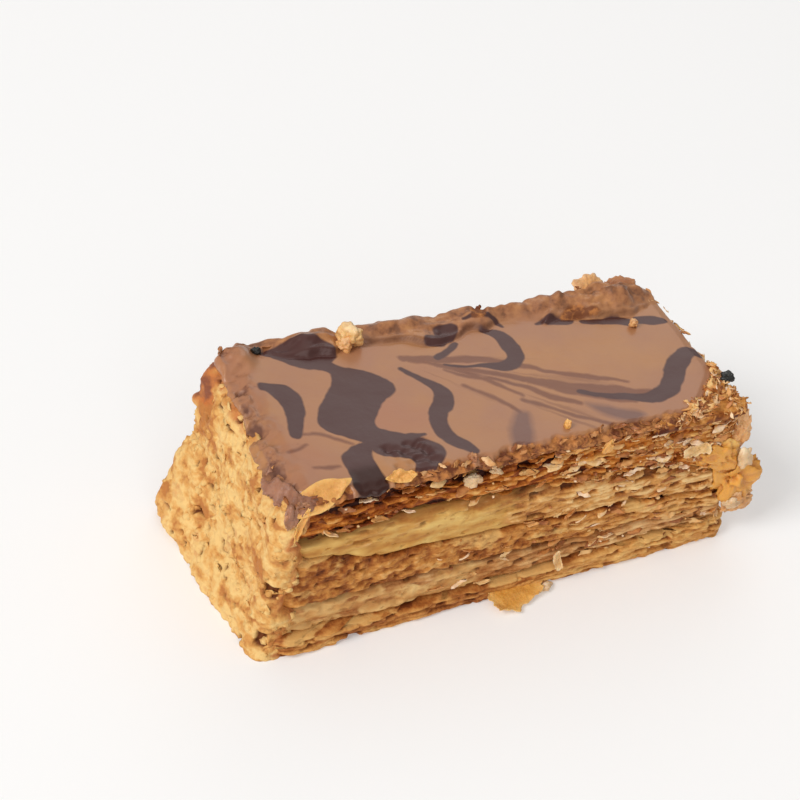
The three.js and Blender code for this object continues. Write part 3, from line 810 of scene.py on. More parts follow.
bareFront = {  # how far back from the front edge the icing has come off the pastry
    "x": (-57, -52, -48, -43, -41.5, -34, -32, -26, -19, -16, -13, -5, 8, 16, 20, 38, 44, 50, 56),
    "width": (0.5, 1.6, 2.4, 2.0, -1, -1, 0.8, 1.2, 1.4, 1.6, 1.0, 1.4, 1.6, 1.6, 1.5, 2.0, 3.2, 4.0, 4.0),
}
crackPatches = [  # where the crust has split and the baked pastry shows
    [(8.0, 21.7), (10.9, 23.3), (12.2, 21.3), (10.1, 18.7), (7.0, 18.8)],
    [(28.6, 16.0), (31.5, 17.6), (35.2, 16.8), (39.0, 14.4), (35.4, 14.3), (30.4, 14.8)],
]
edgeHollows = [  # torn out of the left edge: x, y and radius
    (-53.6, -1.4, 1.7), (-55.6, -14.0, 2.0), (-53.2, 4.6, 1.0), (-54.2, -20.0, 1.2), (-52.4, 10.4, 0.9),
]
crustRidges = [[(30.3, 20.5, 0.9), (27.1, 17.2, 1.0), (23.9, 14.8, 0.5)]]
# Dark shapes in mm: round outlines, and lines as x, y and half width
darkPatches = [
    [(-39.3, 17.7), (-31.1, 15.8), (-27.2, 12.5), (-23.5, 9.7), (-20.3, 6.2), (-19.5, 3.5), (-20.8, 1.3),
     (-23.5, -0.4), (-26.1, -2.4), (-28.2, -5.3), (-29.2, -8.4), (-28.0, -9.8), (-24.6, -11.8),
     (-21.1, -14.1), (-18.6, -17.6), (-18.9, -20.4), (-21.8, -22.6), (-24.8, -24.4), (-27.6, -23.4),
     (-26.4, -20.4), (-29.6, -18.0), (-33.0, -15.8), (-33.9, -13.2), (-35.4, -10.9), (-37.9, -8.4),
     (-40.5, -5.1), (-40.2, -1.8), (-38.6, 1.2), (-36.5, 3.3), (-33.6, 6.7), (-31.9, 9.8), (-31.7, 11.9),
     (-36.6, 15.1)],
    [(-47.6, 12.1), (-45.2, 11.4), (-42.6, 10.4), (-41.3, 8.2), (-40.7, 6.3), (-40.8, 3.9), (-42.4, -0.2),
     (-44.3, -4.0), (-46.2, -6.8), (-47.7, -5.7), (-47.5, -3.1), (-46.4, 0.0), (-45.7, 3.2), (-46.1, 6.4),
     (-47.4, 8.9), (-48.5, 9.9)],
    [(-36.9, -12.2), (-32.9, -12.4), (-34.0, -16.0), (-34.5, -19.1), (-34.4, -22.1), (-34.1, -24.7),
     (-36.0, -26.4), (-39.2, -25.7), (-41.7, -24.0), (-41.3, -20.6), (-40.9, -16.9), (-40.2, -14.5)],
    [(-43.4, 21.9), (-39.6, 22.6), (-35.8, 23.1), (-31.5, 22.2), (-28.0, 19.4), (-27.2, 16.6), (-29.0, 14.8),
     (-31.5, 13.0), (-36.9, 14.5), (-39.3, 17.2), (-41.4, 19.8)],
    [(-3.0, 18.2), (1.5, 19.0), (2.8, 17.2), (-0.5, 14.6), (-3.6, 14.0)],
]
darkLines = [
    [(-15.7, 8.4, 0.6), (-13.0, 4.5, 0.9), (-11.1, 1.1, 1.4), (-10.6, -2.1, 2.2), (-12.0, -4.9, 2.4),
     (-14.1, -6.7, 2.1), (-15.7, -9.9, 2.0), (-16.3, -13.4, 1.9), (-15.7, -16.2, 1.8), (-13.9, -18.8, 1.5),
     (-12.9, -20.9, 1.0)],
    [(8.7, 16.3, 0.8), (10.8, 14.7, 1.5), (11.9, 11.5, 2.1), (11.9, 7.3, 2.2), (10.6, 4.6, 2.0),
     (7.3, 3.1, 1.7), (2.2, 4.7, 0.7), (-2.0, 5.7, 0.5), (-5.4, 7.2, 0.4)],
    [(53.9, -4.6, 1.5), (52.0, -3.7, 1.9), (48.9, -5.0, 2.4), (45.1, -8.2, 2.6), (41.6, -11.9, 2.3),
     (38.1, -14.8, 2.3), (33.7, -15.7, 1.8), (28.5, -13.9, 1.2), (23.2, -11.7, 0.9), (19.4, -9.5, 0.9)],
    [(4.9, 19.4, 0.4), (9.6, 19.5, 0.7), (12.7, 18.1, 0.7), (13.6, 16.4, 0.4)],
    [(-20.5, -13.0, 0.5), (-24.0, -12.6, 0.9), (-27.0, -13.6, 0.6)],
    [(0.0, 13.6, 0.8), (-2.4, 11.8, 0.9), (-5.8, 10.1, 0.9)],
    [(-5.5, 15.5, 1.1), (-3.2, 14.7, 1.3)],
    [(22.2, 15.0, 0.4), (26.1, 15.3, 1.2), (29.5, 14.4, 1.2), (31.1, 14.2, 0.4)],
    [(33.2, 13.2, 0.8), (37.6, 12.4, 1.2), (41.4, 11.6, 1.6), (44.2, 10.3, 1.5)],
    [(47.1, 10.5, 1.6), (49.6, 9.6, 1.8), (52.3, 8.7, 1.3)],
]
faintLines = [
    [(-14.0, 12.0, 0.9), (-6.0, 9.4, 1.4), (2.0, 7.2, 1.2), (9.0, 3.6, 0.9), (17.0, -1.5, 0.8),
     (26.0, -6.5, 0.6)],
    [(-9.0, 8.6, 0.5), (-1.5, 4.0, 0.9), (5.0, 0.6, 1.0), (11.5, -3.2, 1.2), (17.5, -6.6, 1.4),
     (24.5, -9.6, 1.6), (30.5, -12.6, 1.4), (35.0, -13.9, 0.8)],
    [(12.5, -5.5, 0.4), (18.0, -9.0, 1.2), (24.5, -12.6, 1.4), (29.5, -15.6, 0.9)],
    [(19.4, -9.5, 0.9), (15.3, -6.7, 0.7), (10.1, -3.4, 0.7)],
    [(-6.4, 5.4, 0.5), (-2.1, 1.8, 0.7), (3.8, -1.1, 0.6), (8.2, -4.3, 0.8), (11.1, -7.9, 1.0),
     (14.1, -10.3, 1.1), (17.5, -13.1, 0.7)],
    [(-4.7, -0.5, 0.6), (-1.0, -5.2, 0.6), (1.5, -9.6, 0.7), (2.7, -11.9, 0.6)],
    [(5.5, -8.6, 0.7), (8.7, -11.0, 0.7), (11.6, -13.8, 0.6), (14.8, -17.0, 0.7), (18.4, -19.4, 0.7),
     (22.0, -22.6, 0.7)],
    [(-6.7, 7.2, 0.4), (0.7, 2.4, 0.5), (8.5, -1.7, 0.5), (13.0, -5.0, 0.7)],
    [(-14.4, 11.5, 0.4), (-8.2, 9.1, 0.4), (3.0, 6.7, 0.4)],
    [(-50.1, -10.2, 0.5), (-48.0, -9.8, 0.6), (-45.7, -9.1, 0.4)],
    [(-47.3, -16.2, 0.4), (-44.7, -16.9, 0.6), (-42.1, -17.6, 0.4)],
    [(-45.9, -5.6, 0.4), (-41.4, -7.0, 0.6), (-36.9, -11.6, 0.5)],
    [(-5.8, 10.1, 0.9), (-9.9, 10.5, 0.5), (-14.0, 11.1, 0.4)],
    [(-12.6, 10.6, 0.5), (-3.6, 5.8, 0.7), (6.0, 0.0, 0.6), (14.6, -4.6, 0.8), (22.0, -8.4, 0.5)],
    [(-3.0, 9.0, 0.5), (6.5, 4.6, 0.7), (15.0, -0.4, 0.6), (24.0, -5.0, 0.8), (32.0, -9.4, 0.5)],
    [(-7.6, 8.6, 0.4), (-2.0, 2.9, 0.6), (2.6, -2.4, 0.7), (6.0, -7.2, 0.5)],
]
icingEdge = {  # its rings: how far out, and how far down in mm or as a share of the way
    "over": ((0.35, 0.1), (0.6, 0.3), (0.75, 0.6)),
    "down": ((0.85, 0.2), (0.85, 0.45), (0.8, 0.7), (0.6, 0.95), (0.2, 1.0), (-0.4, 0.6)),
}
fan = {"from": (-17.0, 13.0), "angles": (-50, -14), "fineness": 2.0, "bend": 0.8}  # mm and degrees
hazePatches = [
    [(1.5, -11.7), (3.5, -11.6), (4.9, -12.7), (3.5, -16.9), (1.5, -21.4), (-1.7, -24.5), (-4.2, -23.8),
     (-3.6, -19.3), (-1.4, -15.1)],
    [(18.5, -13.0), (23.4, -15.5), (29.7, -19.8), (27.1, -21.9), (22.8, -20.7), (19.9, -17.0)],
]


def worldOf(points):  # where leaned points stand, measured from the block's own origin
    placed = lean(points)
    return placed[:, 0] - block["middle"][0], placed[:, 1] - block["middle"][1]


def depthInHollows(mx, my):  # mm inside the torn hollows along the left edge
    inside = np.max([r - np.hypot(mx - a, (my - b) * 0.8) for a, b, r in edgeHollows], axis=0)
    return inside + layered(mx, my, 1, (0.8, 1.3, 1.1, 1, 53), (0.4, 0.6, 0.5, 1, 54))


def crustDepth(mx, y):  # mm inside the foot of the raised back edge
    return along(mx, crustAlong["x"], crustAlong["reach"]) - (back - y) + 0.6 * grain(mx / 3.1, y / 6, 1, 63)


def icingTop(x, y, mx, my):  # height of the icing over the square block
    swell = icingShape["swell"] * grain(x / 17, y / 13, 2, 61) + 0.08 * grain(x / 5, y / 5, 4, 62)
    depth = crustDepth(mx, y)
    reach, high, steep = (along(mx, crustAlong["x"], crustAlong[key]) for key in ("reach", "height", "steep"))
    rise = steep * between(depth, 0, 0.9) + (1 - steep) * between(depth / reach, 0.08, 0.85)
    lumps = 1 + layered(mx, my, 1, (0.28, 7.5, 2.4, 1, 64), (0.14, 3.2, 1.2, 1, 65))
    rim = high * rise * lumps - 0.25 * steep * between(1 - abs(depth + 0.1) / 0.7, 0, 1)
    ridge = 0.8 * between(deepest(mx, my, crustRidges), -0.4, 0.9)
    crack = 0.45 * between(deepest(mx, my, crackPatches, depthInPatch), -0.2, 0.9)
    lumpy = layered(x, y, 1, (0.7, 2.6, 2.6, 1, 66), (0.4, 1.1, 1.1, 1, 68)) - 0.5
    lumpy = between(left + 7 - x, 0, 5) * lumpy - 1.1 * between(depthInHollows(mx, my), -0.6, 0.9)
    crumbly = layered(mx, my, 1, (0.34, 4.4, 1.5, 1, 85), (0.16, 1.3, 0.9, 1, 59))
    crumbly *= between(depth, 0.4, 2) * (1 + 0.8 * between(mx, 28, 38))
    leftLump = between(-x, 47, 52) * (0.3 * between(y, -6, 12) + 1.9 * between(y, 14, 19))
    blister = between(mx, -33, -30) * between(-mx, 19, 23) * between(-my, 13.5, 15.5)
    blister *= 0.5 * grain(mx / 1.6, my / 1.3, 1, 67) - 0.35
    tongue = between(mx, -42.5, -39.5) * between(-mx, 32, 35)
    droop = icingShape["droop"] * tongue * np.clip((-my - 16.5) / 8, 0, 1) ** 2
    return block["height"] + swell + rim + crumbly + ridge - crack + lumpy + leftLump + blister - droop


def icingSides(y):  # how far the icing reaches to the left and to the right at y
    nearFront = np.clip((front + 14 - y) / 14, 0, 1)
    nearBack = np.clip((y - back + 3) / 3, 0, 1)
    cornerCut = 6.6 * np.clip((front + 8.5 - y) / 8.5, 0, 1) ** 1.5
    backCut = 3 * (1 - np.sqrt(1 - nearBack**2))
    ragged = layered(1.5, y, 0.5, (1.0, 1, 3.4, 1, 71), (0.6, 1, 1.2, 1, 72))
    hollow = 1.8 * between(1 - abs(y + 2.5) / 3.2, 0, 1)
    low = left + icingShape["leftInset"] + cornerCut + backCut * 1.2 + ragged + hollow
    ragged = layered(9.5, y, 0.5, (0.4, 1, 3.3, 1, 73), (0.25, 1, 1.2, 1, 74))
    return low, right - icingShape["rightInset"] - 14 * nearFront**1.35 - backCut + ragged


def bareDepth(mx, my, y):  # mm inside the strip along the front where the icing has come off
    wide = along(mx, bareFront["x"], bareFront["width"])
    return wide - (y - front) + layered(mx, my, 1, (0.9, 2.3, 2.3, 1, 69), (0.35, 0.9, 0.9, 1, 70))


def icingSheetTop():  # the points of its top in rows from the front, and how bare each is
    spacing = icingShape["spacing"]
    columns, rows = int(block["length"] / spacing), int(block["width"] / spacing)
    u, v = np.linspace(0, 1, columns)[None, :], np.linspace(0, 1, rows)[:, None]
    y = front + (back - front) * v
    low, high = icingSides(y)
    x = low + (high - low) * u
    y = y + (1 - v) ** 8 * (0.5 * grain(x / 4.1, 1, 1, 75) + 0.25 * grain(x / 1.4, 1, 1, 76) - 0.1)
    y = y + v**8 * (0.9 * grain(x / 4.4, 5, 1, 77) + 0.4 * grain(x / 1.5, 5, 1, 78))
    top = np.stack([x, y, np.full_like(x, block["height"])], -1).reshape(-1, 3)
    mx, my = worldOf(top)
    x, y = top[:, 0], top[:, 1]
    bare = bareDepth(mx, my, y)
    crumble = layered(mx, my, 1, (0.35, 1.3, 1.3, 1, 86), (0.2, 0.6, 0.6, 1, 87))
    c, r = np.meshgrid(np.arange(columns), np.arange(rows))
    toEdge = np.minimum.reduce([c, columns - 1 - c, r]).ravel() * spacing
    z = icingTop(x, y, mx, my) - between(bare, -0.2, 0.5) * (0.75 + crumble)
    top[:, 2] = z - 0.3 * (1 - between(toEdge, 0, 1.6))  # rounds the rim of the sheet
    return top, bare, rows, columns


def icingRim(rim):  # rings from the rim of the top down over the edge and under it
    tangent = np.roll(rim, -4, axis=0) - np.roll(rim, 4, axis=0)
    size = np.hypot(tangent[:, 0], tangent[:, 1])
    nx, ny = tangent[:, 1] / size, -tangent[:, 0] / size
    x, y, z = rim.T
    under = levelAt("topPastry", x) + block["gap"] / 2
    hang = 0.8 + layered(x, y, 1, (0.7, 3.6, 3.6, 1, 79), (0.3, 1.2, 1.2, 1, 80))
    hang += 0.5 * between(x, -43, -41) * (1 - between(x, -35.5, -33)) * (y < front + 3)
    clear = between(x, layerLeft + 2, layerLeft + 6) * (1 - between(x, right - 17, right - 13))
    hang = np.maximum(hang, 0.15) * clear * (0.45 + 0.55 * between(-y, -front - 4, -front - 2))
    atLeft = (x < layerLeft + 4) * between(-y, 2, 7)
    nearCorner = atLeft * between(-y, 14, 20) * (1 - between(x, -53, -50))
    skirt = atLeft * (1.4 + 0.8 * grain(y / 2.6, x / 2.6, 1, 88)) + nearCorner * icingShape["skirt"]
    skirt *= 1 + 0.5 * grain(y / 1.6, x / 1.6, 1, 89)
    flare = np.clip(skirt, 0, 1)
    rings = [np.stack([x + nx * out, y + ny * out, z - drop], -1) for out, drop in icingEdge["over"]]
    for out, share in icingEdge["down"]:
        out = out + 0.14 * grain(x / 1.1, y / 1.1, share * 3, 81) + 0.9 * flare * min(1, share * 2)
        out = out - between(grain(x / 1.5, y / 1.5, share * 2.2, 90), 0.35, 0.7) * flare * 0.7
        low = np.minimum((z - 0.6) * (1 - share) + (under - hang - skirt) * share, z - 0.7)
        rings.append(np.stack([x + nx * out, y + ny * out, low], -1))
    return rings + [np.stack([x - nx * 0.9, y - ny * 0.9, under], -1)]


def makeIcing():
    top, bare, rows, columns = icingSheetTop()
    ring = rimOf(rows, columns)
    rings = icingRim(top[ring])
    first, count = len(top), len(ring)
    faces, above = [gridFaces(rows, columns, closed=False)], ring
    for n in range(len(rings)):
        below = first + n * count + np.arange(count)
        faces.append(np.stack([below, np.roll(below, -1), np.roll(above, -1), above], -1))
        above = below
    centre = first + len(rings) * count
    foot = [(b, a, centre) for a, b in zip(above.tolist(), np.roll(above, -1).tolist())]
    faces = np.concatenate(faces).tolist() + foot
    points = np.concatenate([top, *rings, [[0, 0, rings[-1][:, 2].mean()]]])
    mx, my = worldOf(points)
    x, y = points[:, 0], points[:, 1]
    depth = crustDepth(mx, y)
    onSheet = np.arange(len(points)) < first
    edge = np.concatenate([np.full(first, -1.0), np.repeat(np.linspace(0, 1, len(rings)), count), [1.0]])
    # painted shadow along the foot of the raised crust, strongest where it rises steeply
    foot = along(mx, crustAlong["x"], crustAlong["steep"]) * np.clip(1 - abs(depth - 0.5) / 1.1, 0, 1)
    piece = makeObject(
        "icingSheet", points, faces, edge=edge, foot=foot * onSheet, crust=depth * onSheet,
        bare=np.concatenate([bare, np.tile(bare[ring], len(rings)), [1.0]]),
        # painted shade: the front of the dark tongue is painted darker where it bends down and mirrors less
        fold=between(-my, 17.5, 20.5) * between(mx, -43.5, -41) * between(-mx, 31, 33.5),
        worn=between(left + 9 - x + 3.4 * grain(x / 3.4, y / 3.0, 1, 57), 0, 6) * onSheet,
        **marbling(mx, my),
    )
    ready(piece, icingMaterial(), ["icing"])


def marbling(mx, my):  # how deep each point lies inside the drawn shapes, in mm
    wobbleX = layered(mx, my, 1, (0.3, 3.2, 3.2, 1, 82), (0.12, 1.1, 1.1, 1, 83))
    wobbleY = layered(mx, my, 7, (0.3, 3.2, 3.2, 1, 84), (0.12, 1.1, 1.1, 1, 85))
    mx, my = mx + wobbleX, my + wobbleY
    return {
        "ink": np.maximum(deepest(mx, my, darkPatches, depthInPatch), deepest(mx, my, darkLines)),
        "faint": deepest(mx, my, faintLines),
        "haze": deepest(mx, my, hazePatches, depthInPatch),
        "crack": deepest(mx, my, crackPatches, depthInPatch),
        "streak": fanStreaks(mx, my),
        "hollow": depthInHollows(mx, my),
    }


def fanStreaks(mx, my):  # fine streaks that the knife's point combed out from one spot
    x, y = fan["from"]
    far, angle = np.hypot(mx - x, my - y), np.degrees(np.arctan2(my - y, mx - x))
    angle = angle + fan["bend"] * far / 10
    fine = angle / fan["fineness"]
    streaks = grain(fine, far / 22, 1, 51) + 0.5 * grain(fine * 2.1, far / 16, 2, 52)
    low, high = fan["angles"]
    inside = between(angle, low - 4, low + 4) * (1 - between(angle, high - 4, high + 4))
    return streaks * inside * between(far, 5, 12) * (1 - between(far, 42, 58))


icingLook = {
    "milk": tone(166, 115, 83),
    "tan": tone(175, 122, 78),
    "pink": tone(168, 112, 80),
    "dark": tone(73, 41, 37),
    # painted shade on the bent-down front of the dark tongue
    "deep": tone(50, 16, 6),
    "faint": tone(114, 66, 44),
    "haze": tone(106, 74, 68),
    "crust": tone(154, 98, 60),
    "crustDark": tone(92, 52, 32),
    "crustLight": tone(189, 130, 80),
    "wornDark": tone(112, 68, 50),
    "worn": tone(162, 110, 80),
    # painted shade in the torn hollows
    "hollow": tone(84, 46, 34),
    # painted shadow at the crust's foot
    "foot": tone(92, 48, 24),
    "bare": tone(186, 118, 58),
    "bareDark": tone(104, 50, 18),
    "bareRight": tone(214, 148, 84),
    "crack": tone(178, 112, 56),
    "crackDark": tone(116, 64, 30),
    "roughness": 0.32,
    "sheen": (1.0, 0.9, 0.86, 1.0),  # warms what the icing mirrors
}


def icingMaterial():
    material, tree, shader, place = paint("marbledIcing")
    look = icingLook
    clouds, warm = noiseIn(tree, place, 60.0, 3.0), noiseIn(tree, place, 34.0, 2.0)
    crumble = noiseIn(tree, place, 420.0, 4.0, rough=0.65)
    crumbs = noiseIn(tree, place, 300.0, 3.0, rough=0.6)

    def mark(name, low, high, strength=1.0, rough=0.0):  # where an attribute passes from low to high
        value = attribute(tree, name)
        if rough:
            value = plus(tree, value, swing(tree, crumble, rough))
        return spread(tree, value, low, high, 0, strength)

    crusty = [(0.36, look["crustDark"]), (0.48, look["crust"]), (0.64, look["crustLight"])]
    crusty = ramp(tree, crumbs, crusty)
    # painted shade where the tongue bends down
    ink = mixed(tree, attribute(tree, "fold"), look["dark"], look["deep"])
    lit = mixed(tree, spread(tree, acrossOf(tree, place), 0.0, 0.04), look["bare"], look["bareRight"])
    bared = mixed(tree, spread(tree, crumble, 0.4, 0.6), look["bareDark"], lit)
    split = mixed(tree, spread(tree, crumble, 0.45, 0.6), look["crackDark"], look["crack"])
    pocked = times(tree, mark("worn", 0.5, 1.3, 1.0, 0.5), spread(tree, crumbs, 0.46, 0.34))
    bareness = mark("bare", 0.0, 0.4, 1.0, 0.3)
    colour = mixed(tree, spread(tree, clouds, 0.35, 0.65), look["milk"], look["tan"])
    for amount, over in (  # each laid over what is there
        (spread(tree, warm, 0.5, 0.66), look["pink"]),
        (mark("worn", 0.1, 0.9, 0.75, 0.35), look["worn"]),
        (pocked, look["wornDark"]),
        # painted shade in the torn hollows along the left edge
        (mark("hollow", -0.7, 0.6, 0.85, 0.4), look["hollow"]),
        (mark("crust", 0.3, 2.6, 0.7, 0.9), crusty),
        # painted shadow at the crust's foot
        (mark("foot", 0.15, 0.6, 0.75, 0.1), look["foot"]),
        (mark("streak", 0.1, 0.7, 0.5), look["faint"]),
        (mark("faint", -0.3, 0.4, 0.85, 0.08), look["faint"]),
        (mark("haze", -0.6, 1.2, 0.8), look["haze"]),
        (mark("edge", 0.2, 0.9, 0.75, 0.5), crusty),
        (mark("ink", -0.22, 0.22), ink),
        (bareness, bared),
        (mark("crack", -0.1, 0.4, 1.0, 0.25), split),
    ):
        colour = mixed(tree, amount, colour, over)
    matt = calc(tree, "MAXIMUM", bareness, mark("crack", -0.1, 0.4))
    matt = calc(tree, "MAXIMUM", matt, mark("hollow", -0.7, 0.6))
    roughness = spread(tree, matt, 0, 1, look["roughness"], 0.7)
    finish(tree, shader, colour, roughness, 0.5, noiseIn(tree, place, 260.0, 3.0), 0.00012)
    shader.inputs["Specular Tint"].default_value = look["sheen"]
    return material


makeIcing()


# The crumbed end: crumbs pressed into a lumpy coat, with small pits painted dark as shade

coat = {
    "step": 0.28,
    "pale": tone(230, 190, 122),
    "golden": tone(215, 159, 88),
    "tan": tone(184, 118, 60),
    "toast": tone(190, 108, 54),
    "burnt": tone(138, 80, 54),
    # painted shade in the pits
    "pit": tone(104, 54, 22),
    "roughness": 0.65,
    "pitDepth": 1.4,
}


def coatMaterial(name):  # the coat itself and the crumbs on it, in one run of patches
    material, tree, shader, place = paint(name)
    patches = noiseIn(tree, stretched(tree, place, (1.0, 0.6, 1.0)), 300.0, 3.0, rough=0.55)
    lumps, fine = noiseIn(tree, place, 90.0, 2.0), noiseIn(tree, place, 900.0, 3.0, rough=0.6)
    # proud lightens the crumbs that stand out, with painted shade between them
    light = weighed(
        tree, (patches, 1.0), (swing(tree, lumps), 0.1), (swing(tree, fine), 0.04),
        (attribute(tree, "proud"), 0.1), (attribute(tree, "tint"), 0.09),
    )
    colour = ramp(tree, light, [(0.34, coat["tan"]), (0.47, coat["golden"]), (0.6, coat["pale"])])
    toasted = plus(tree, attribute(tree, "toast"), swing(tree, patches, 0.6))
    colour = mixed(tree, spread(tree, toasted, 0.3, 0.9, 0, 0.85), colour, coat["toast"])
    colour = mixed(tree, spread(tree, toasted, 0.95, 1.6), colour, coat["burnt"])
    # painted shade in the pits
    colour = mixed(tree, spread(tree, attribute(tree, "pit"), 0.2, 0.8), colour, coat["pit"])
    bumps = plus(tree, patches, fine)
    finish(tree, shader, colour, coat["roughness"], pastryLook["specular"], bumps, 0.0003)
    return material


def coatSurface():  # its outer and inner skin in rows up from the foot, which way it faces, and its shades
    top = levelAt("topPastry", left) - 0.1
    path = curved([
        (layerLeft + 9.5, front - 0.2), (layerLeft + 5.4, front - 0.5), (layerLeft + 2.4, front - 0.7),
        (left + 2.0, front - 0.2), (left + 0.4, front + 1.4), (left, front + 4), (left, -8), (left, 8),
        (left, back - 4), (left + 0.9, back - 0.9), (layerLeft + 0.6, back + 0.4),
        (layerLeft + 5, back + 0.4), (layerLeft + 8, back + 0.2),
    ], False, 12)
    run = np.concatenate([[0], np.cumsum(np.hypot(*np.diff(path, axis=0).T))])
    columns, rows = int(run[-1] / coat["step"]), int(top / coat["step"])
    z = np.linspace(0, top, rows)[:, None]
    first = 6.0 + 1.8 * grain(z / 3.4, 0, 0, 96) + 0.9 * grain(z / 1.2, 0, 0, 97)
    last = 3.0 + 1.8 * grain(z / 3.4, 5, 0, 98) + 0.9 * grain(z / 1.2, 5, 0, 99)
    at = first + (run[-1] - last - first) * np.linspace(0, 1, columns)[None, :]
    x, y = np.interp(at, run, path[:, 0]), np.interp(at, run, path[:, 1])
    tx, ty = np.gradient(x, axis=1), np.gradient(y, axis=1)
    size = np.hypot(tx, ty)
    nx, ny = -ty / size, tx / size
    ends = np.minimum(at - first, run[-1] - last - at)
    s = y + x
    swerve, sway = 0.9 * grain(s / 1.9, z / 1.7, 1, 93), 0.9 * grain(s / 1.9, z / 1.7, 5, 94)
    big, bigShade = pebbles(at + swerve, z + sway, 3.0, 400)
    small, smallShade = pebbles(at + 0.6 * swerve, z + 0.6 * sway, 1.35, 410)
    crumbs = 0.5 * big + 0.34 * small - 0.5 + 0.12 * grain(s / 0.8, z / 0.7, 1, 92)
    lump = 1.15 * grain(y / 7.5, z / 5.5, 1, 91) + crumbs
    foot = 1.5 * (1 - between(z, 1, 9)) * between(y, -16, 10) * (1 - 0.8 * between(y, 14, 21))
    shoulder = (1.4 + 1.6 * grain(s / 3.2, z / 2.8, 1, 58)) * between(z, 28, 32) * between(y, 4, 14)
    shoulder = shoulder * (1 - 0.9 * between(z, 36, 39))
    belly = 2.1 * between(y, 6, 17) * between(z, 0.3, 3.2) * (1 - between(z, 8, 20))
    belly = belly - 1.4 * (1 - between(z, 0, 2.4)) * between(y, 8, 16)
    pit = between(grain(s / 2.0, z / 1.5, 3, 95), 0.6, 0.76) * between(ends, 0.5, 2)
    rounding = 1.3 * between(z, top - 2.2, top) ** 2
    out = between(ends, 0, 3) * (lump + foot + shoulder + belly)
    out = out - coat["pitDepth"] * pit - rounding - 1.1 * (1 - between(ends, 0, 1.6))
    aside = 1 - 0.8 * between(y, 15, 20) * (1 - between(z, 6, 16))  # keeps the foot from swelling backwards
    outer = np.stack([x + nx * out, y + ny * out * aside, z + 0 * x], -1)
    inner = np.stack([np.maximum(x - nx * 1.6, layerLeft - 0.6), y - ny * 1.6, z + 0 * x], -1)
    toast = 0.6 + 0.8 * between(y, 16, 20) + 0.8 * grain(s / 2.6, z / 2.2, 1, 56)
    toast = toast * between(z, 30, 34) * between(y, 11, 16)
    toast = toast + 0.3 * (1 - between(z, 6, 14)) * between(y, 12, 20)
    toast = np.maximum(toast, 0.75 * (1 - between(ends, 1, 4)))
    toast = np.maximum(toast, 0.7 * between(z, 37.5, 39.5) * between(y, -12, 0))
    tint = 0.6 * bigShade + 0.5 * smallShade
    tint = tint + 0.7 * (1 - between(z, 3, 12)) - 0.4 * between(z, 14, 30) * between(y, -5, 8)
    return outer, inner, np.arctan2(nx, -ny), {"pit": pit, "toast": toast, "proud": crumbs, "tint": tint}


def makeCoat():
    outer, inner, heading, shades = coatSurface()
    shades = {key: [0 * values, values] for key, values in shades.items()}  # none on the inner skin
    piece = slab("crumbCoat", inner, outer, **shades)
    ready(piece, coatMaterial("goldenCrumb"), ["crumb_coat"])


makeCoat()


# Stray flakes and crumbs, scattered over the cut faces, the coat and the edges of the icing

# the palest, pinkish white end of each ramp is a painted highlight on the flakes that draw it
strayShades = {
    "pastry": ((0.0, tone(150, 82, 34)), (0.25, tone(196, 126, 64)), (0.55, tone(222, 162, 92)),
               (0.8, tone(240, 196, 132)), (1.0, tone(248, 216, 182))),
    "icing": ((0.0, tone(124, 62, 26)), (0.35, tone(176, 108, 54)), (0.7, tone(212, 150, 88)),
              (1.0, tone(242, 200, 150))),
}


def strayMaterial(name, shades):
    material, tree, shader, place = paint(name)
    streaks = noiseIn(tree, place, 700.0, 3.0)
    light = weighed(tree, (attribute(tree, "tint"), 1.0), (swing(tree, streaks), 0.14))
    finish(tree, shader, ramp(tree, light, shades), 0.5, 0.5, streaks, 0.0001)
    return material


def flakeShape(name, seed):  # a thin torn flake about 3 mm long
    u, v = np.meshgrid(np.linspace(-1, 1, 6), np.linspace(-1, 1, 4))
    x = 1.8 * u * (1 - 0.35 * abs(v) ** 2 * abs(u)) + 0.45 * grain(u * 1.7, v * 1.7, 0, seed)
    y = 0.6 * v * (1 - 0.35 * abs(u) ** 3) + 0.5 * grain(u * 1.6, v * 1.7, 5, seed)
    z = 0.3 * grain(u * 0.9, v * 0.9, 9, seed) + 0.16 * u * u
    half = 0.09
    return slab(name, np.stack([x, y, z + half], -1), np.stack([x, y, z - half], -1))


def built(build):  # the points and faces that bmesh has made
    build.verts.index_update()
    points = np.array([point.co[:] for point in build.verts])
    faces = [[point.index for point in face.verts] for face in build.faces]
    build.free()
    return points, faces


def crumbShape(name, seed):  # a small uneven lump
    build = bmesh.new()
    bmesh.ops.create_cube(build, size=2)
    bmesh.ops.subdivide_edges(build, edges=build.edges[:], cuts=1, use_grid_fill=True)
    points, faces = built(build)
    points /= np.linalg.norm(points, axis=1)[:, None]
    swell = 1 + 0.42 * grain(*(points * 1.3).T, seed)
    return makeObject(name, points * (0.55 * swell)[:, None], faces)


sprinkleSizes = {  # named inputs of the tree, and their usual values
    **{f"shape{n}": ("Object", None) for n in (1, 2, 3, 4)},
    "density": ("Float", 0.2),
    "smallest": ("Float", 0.5),
    "largest": ("Float", 1.4),
    "lean": ("Float", 0.0),
    "roll": ("Float", 0.9),
    "pitch": ("Float", 0.3),
    "swerve": ("Float", 0.5),
    "seed": ("Int", 1),
    "material": ("Material", None),
}


def drawn(tree, kind, low, high, seed):  # a value drawn for each point
    n = ("FLOAT_VECTOR", "FLOAT", "INT").index(kind)
    inputs = {2 * n: low, 2 * n + 1: high, "Seed": seed}
    return put(tree, "FunctionNodeRandomValue", inputs, data_type=kind).outputs[n]


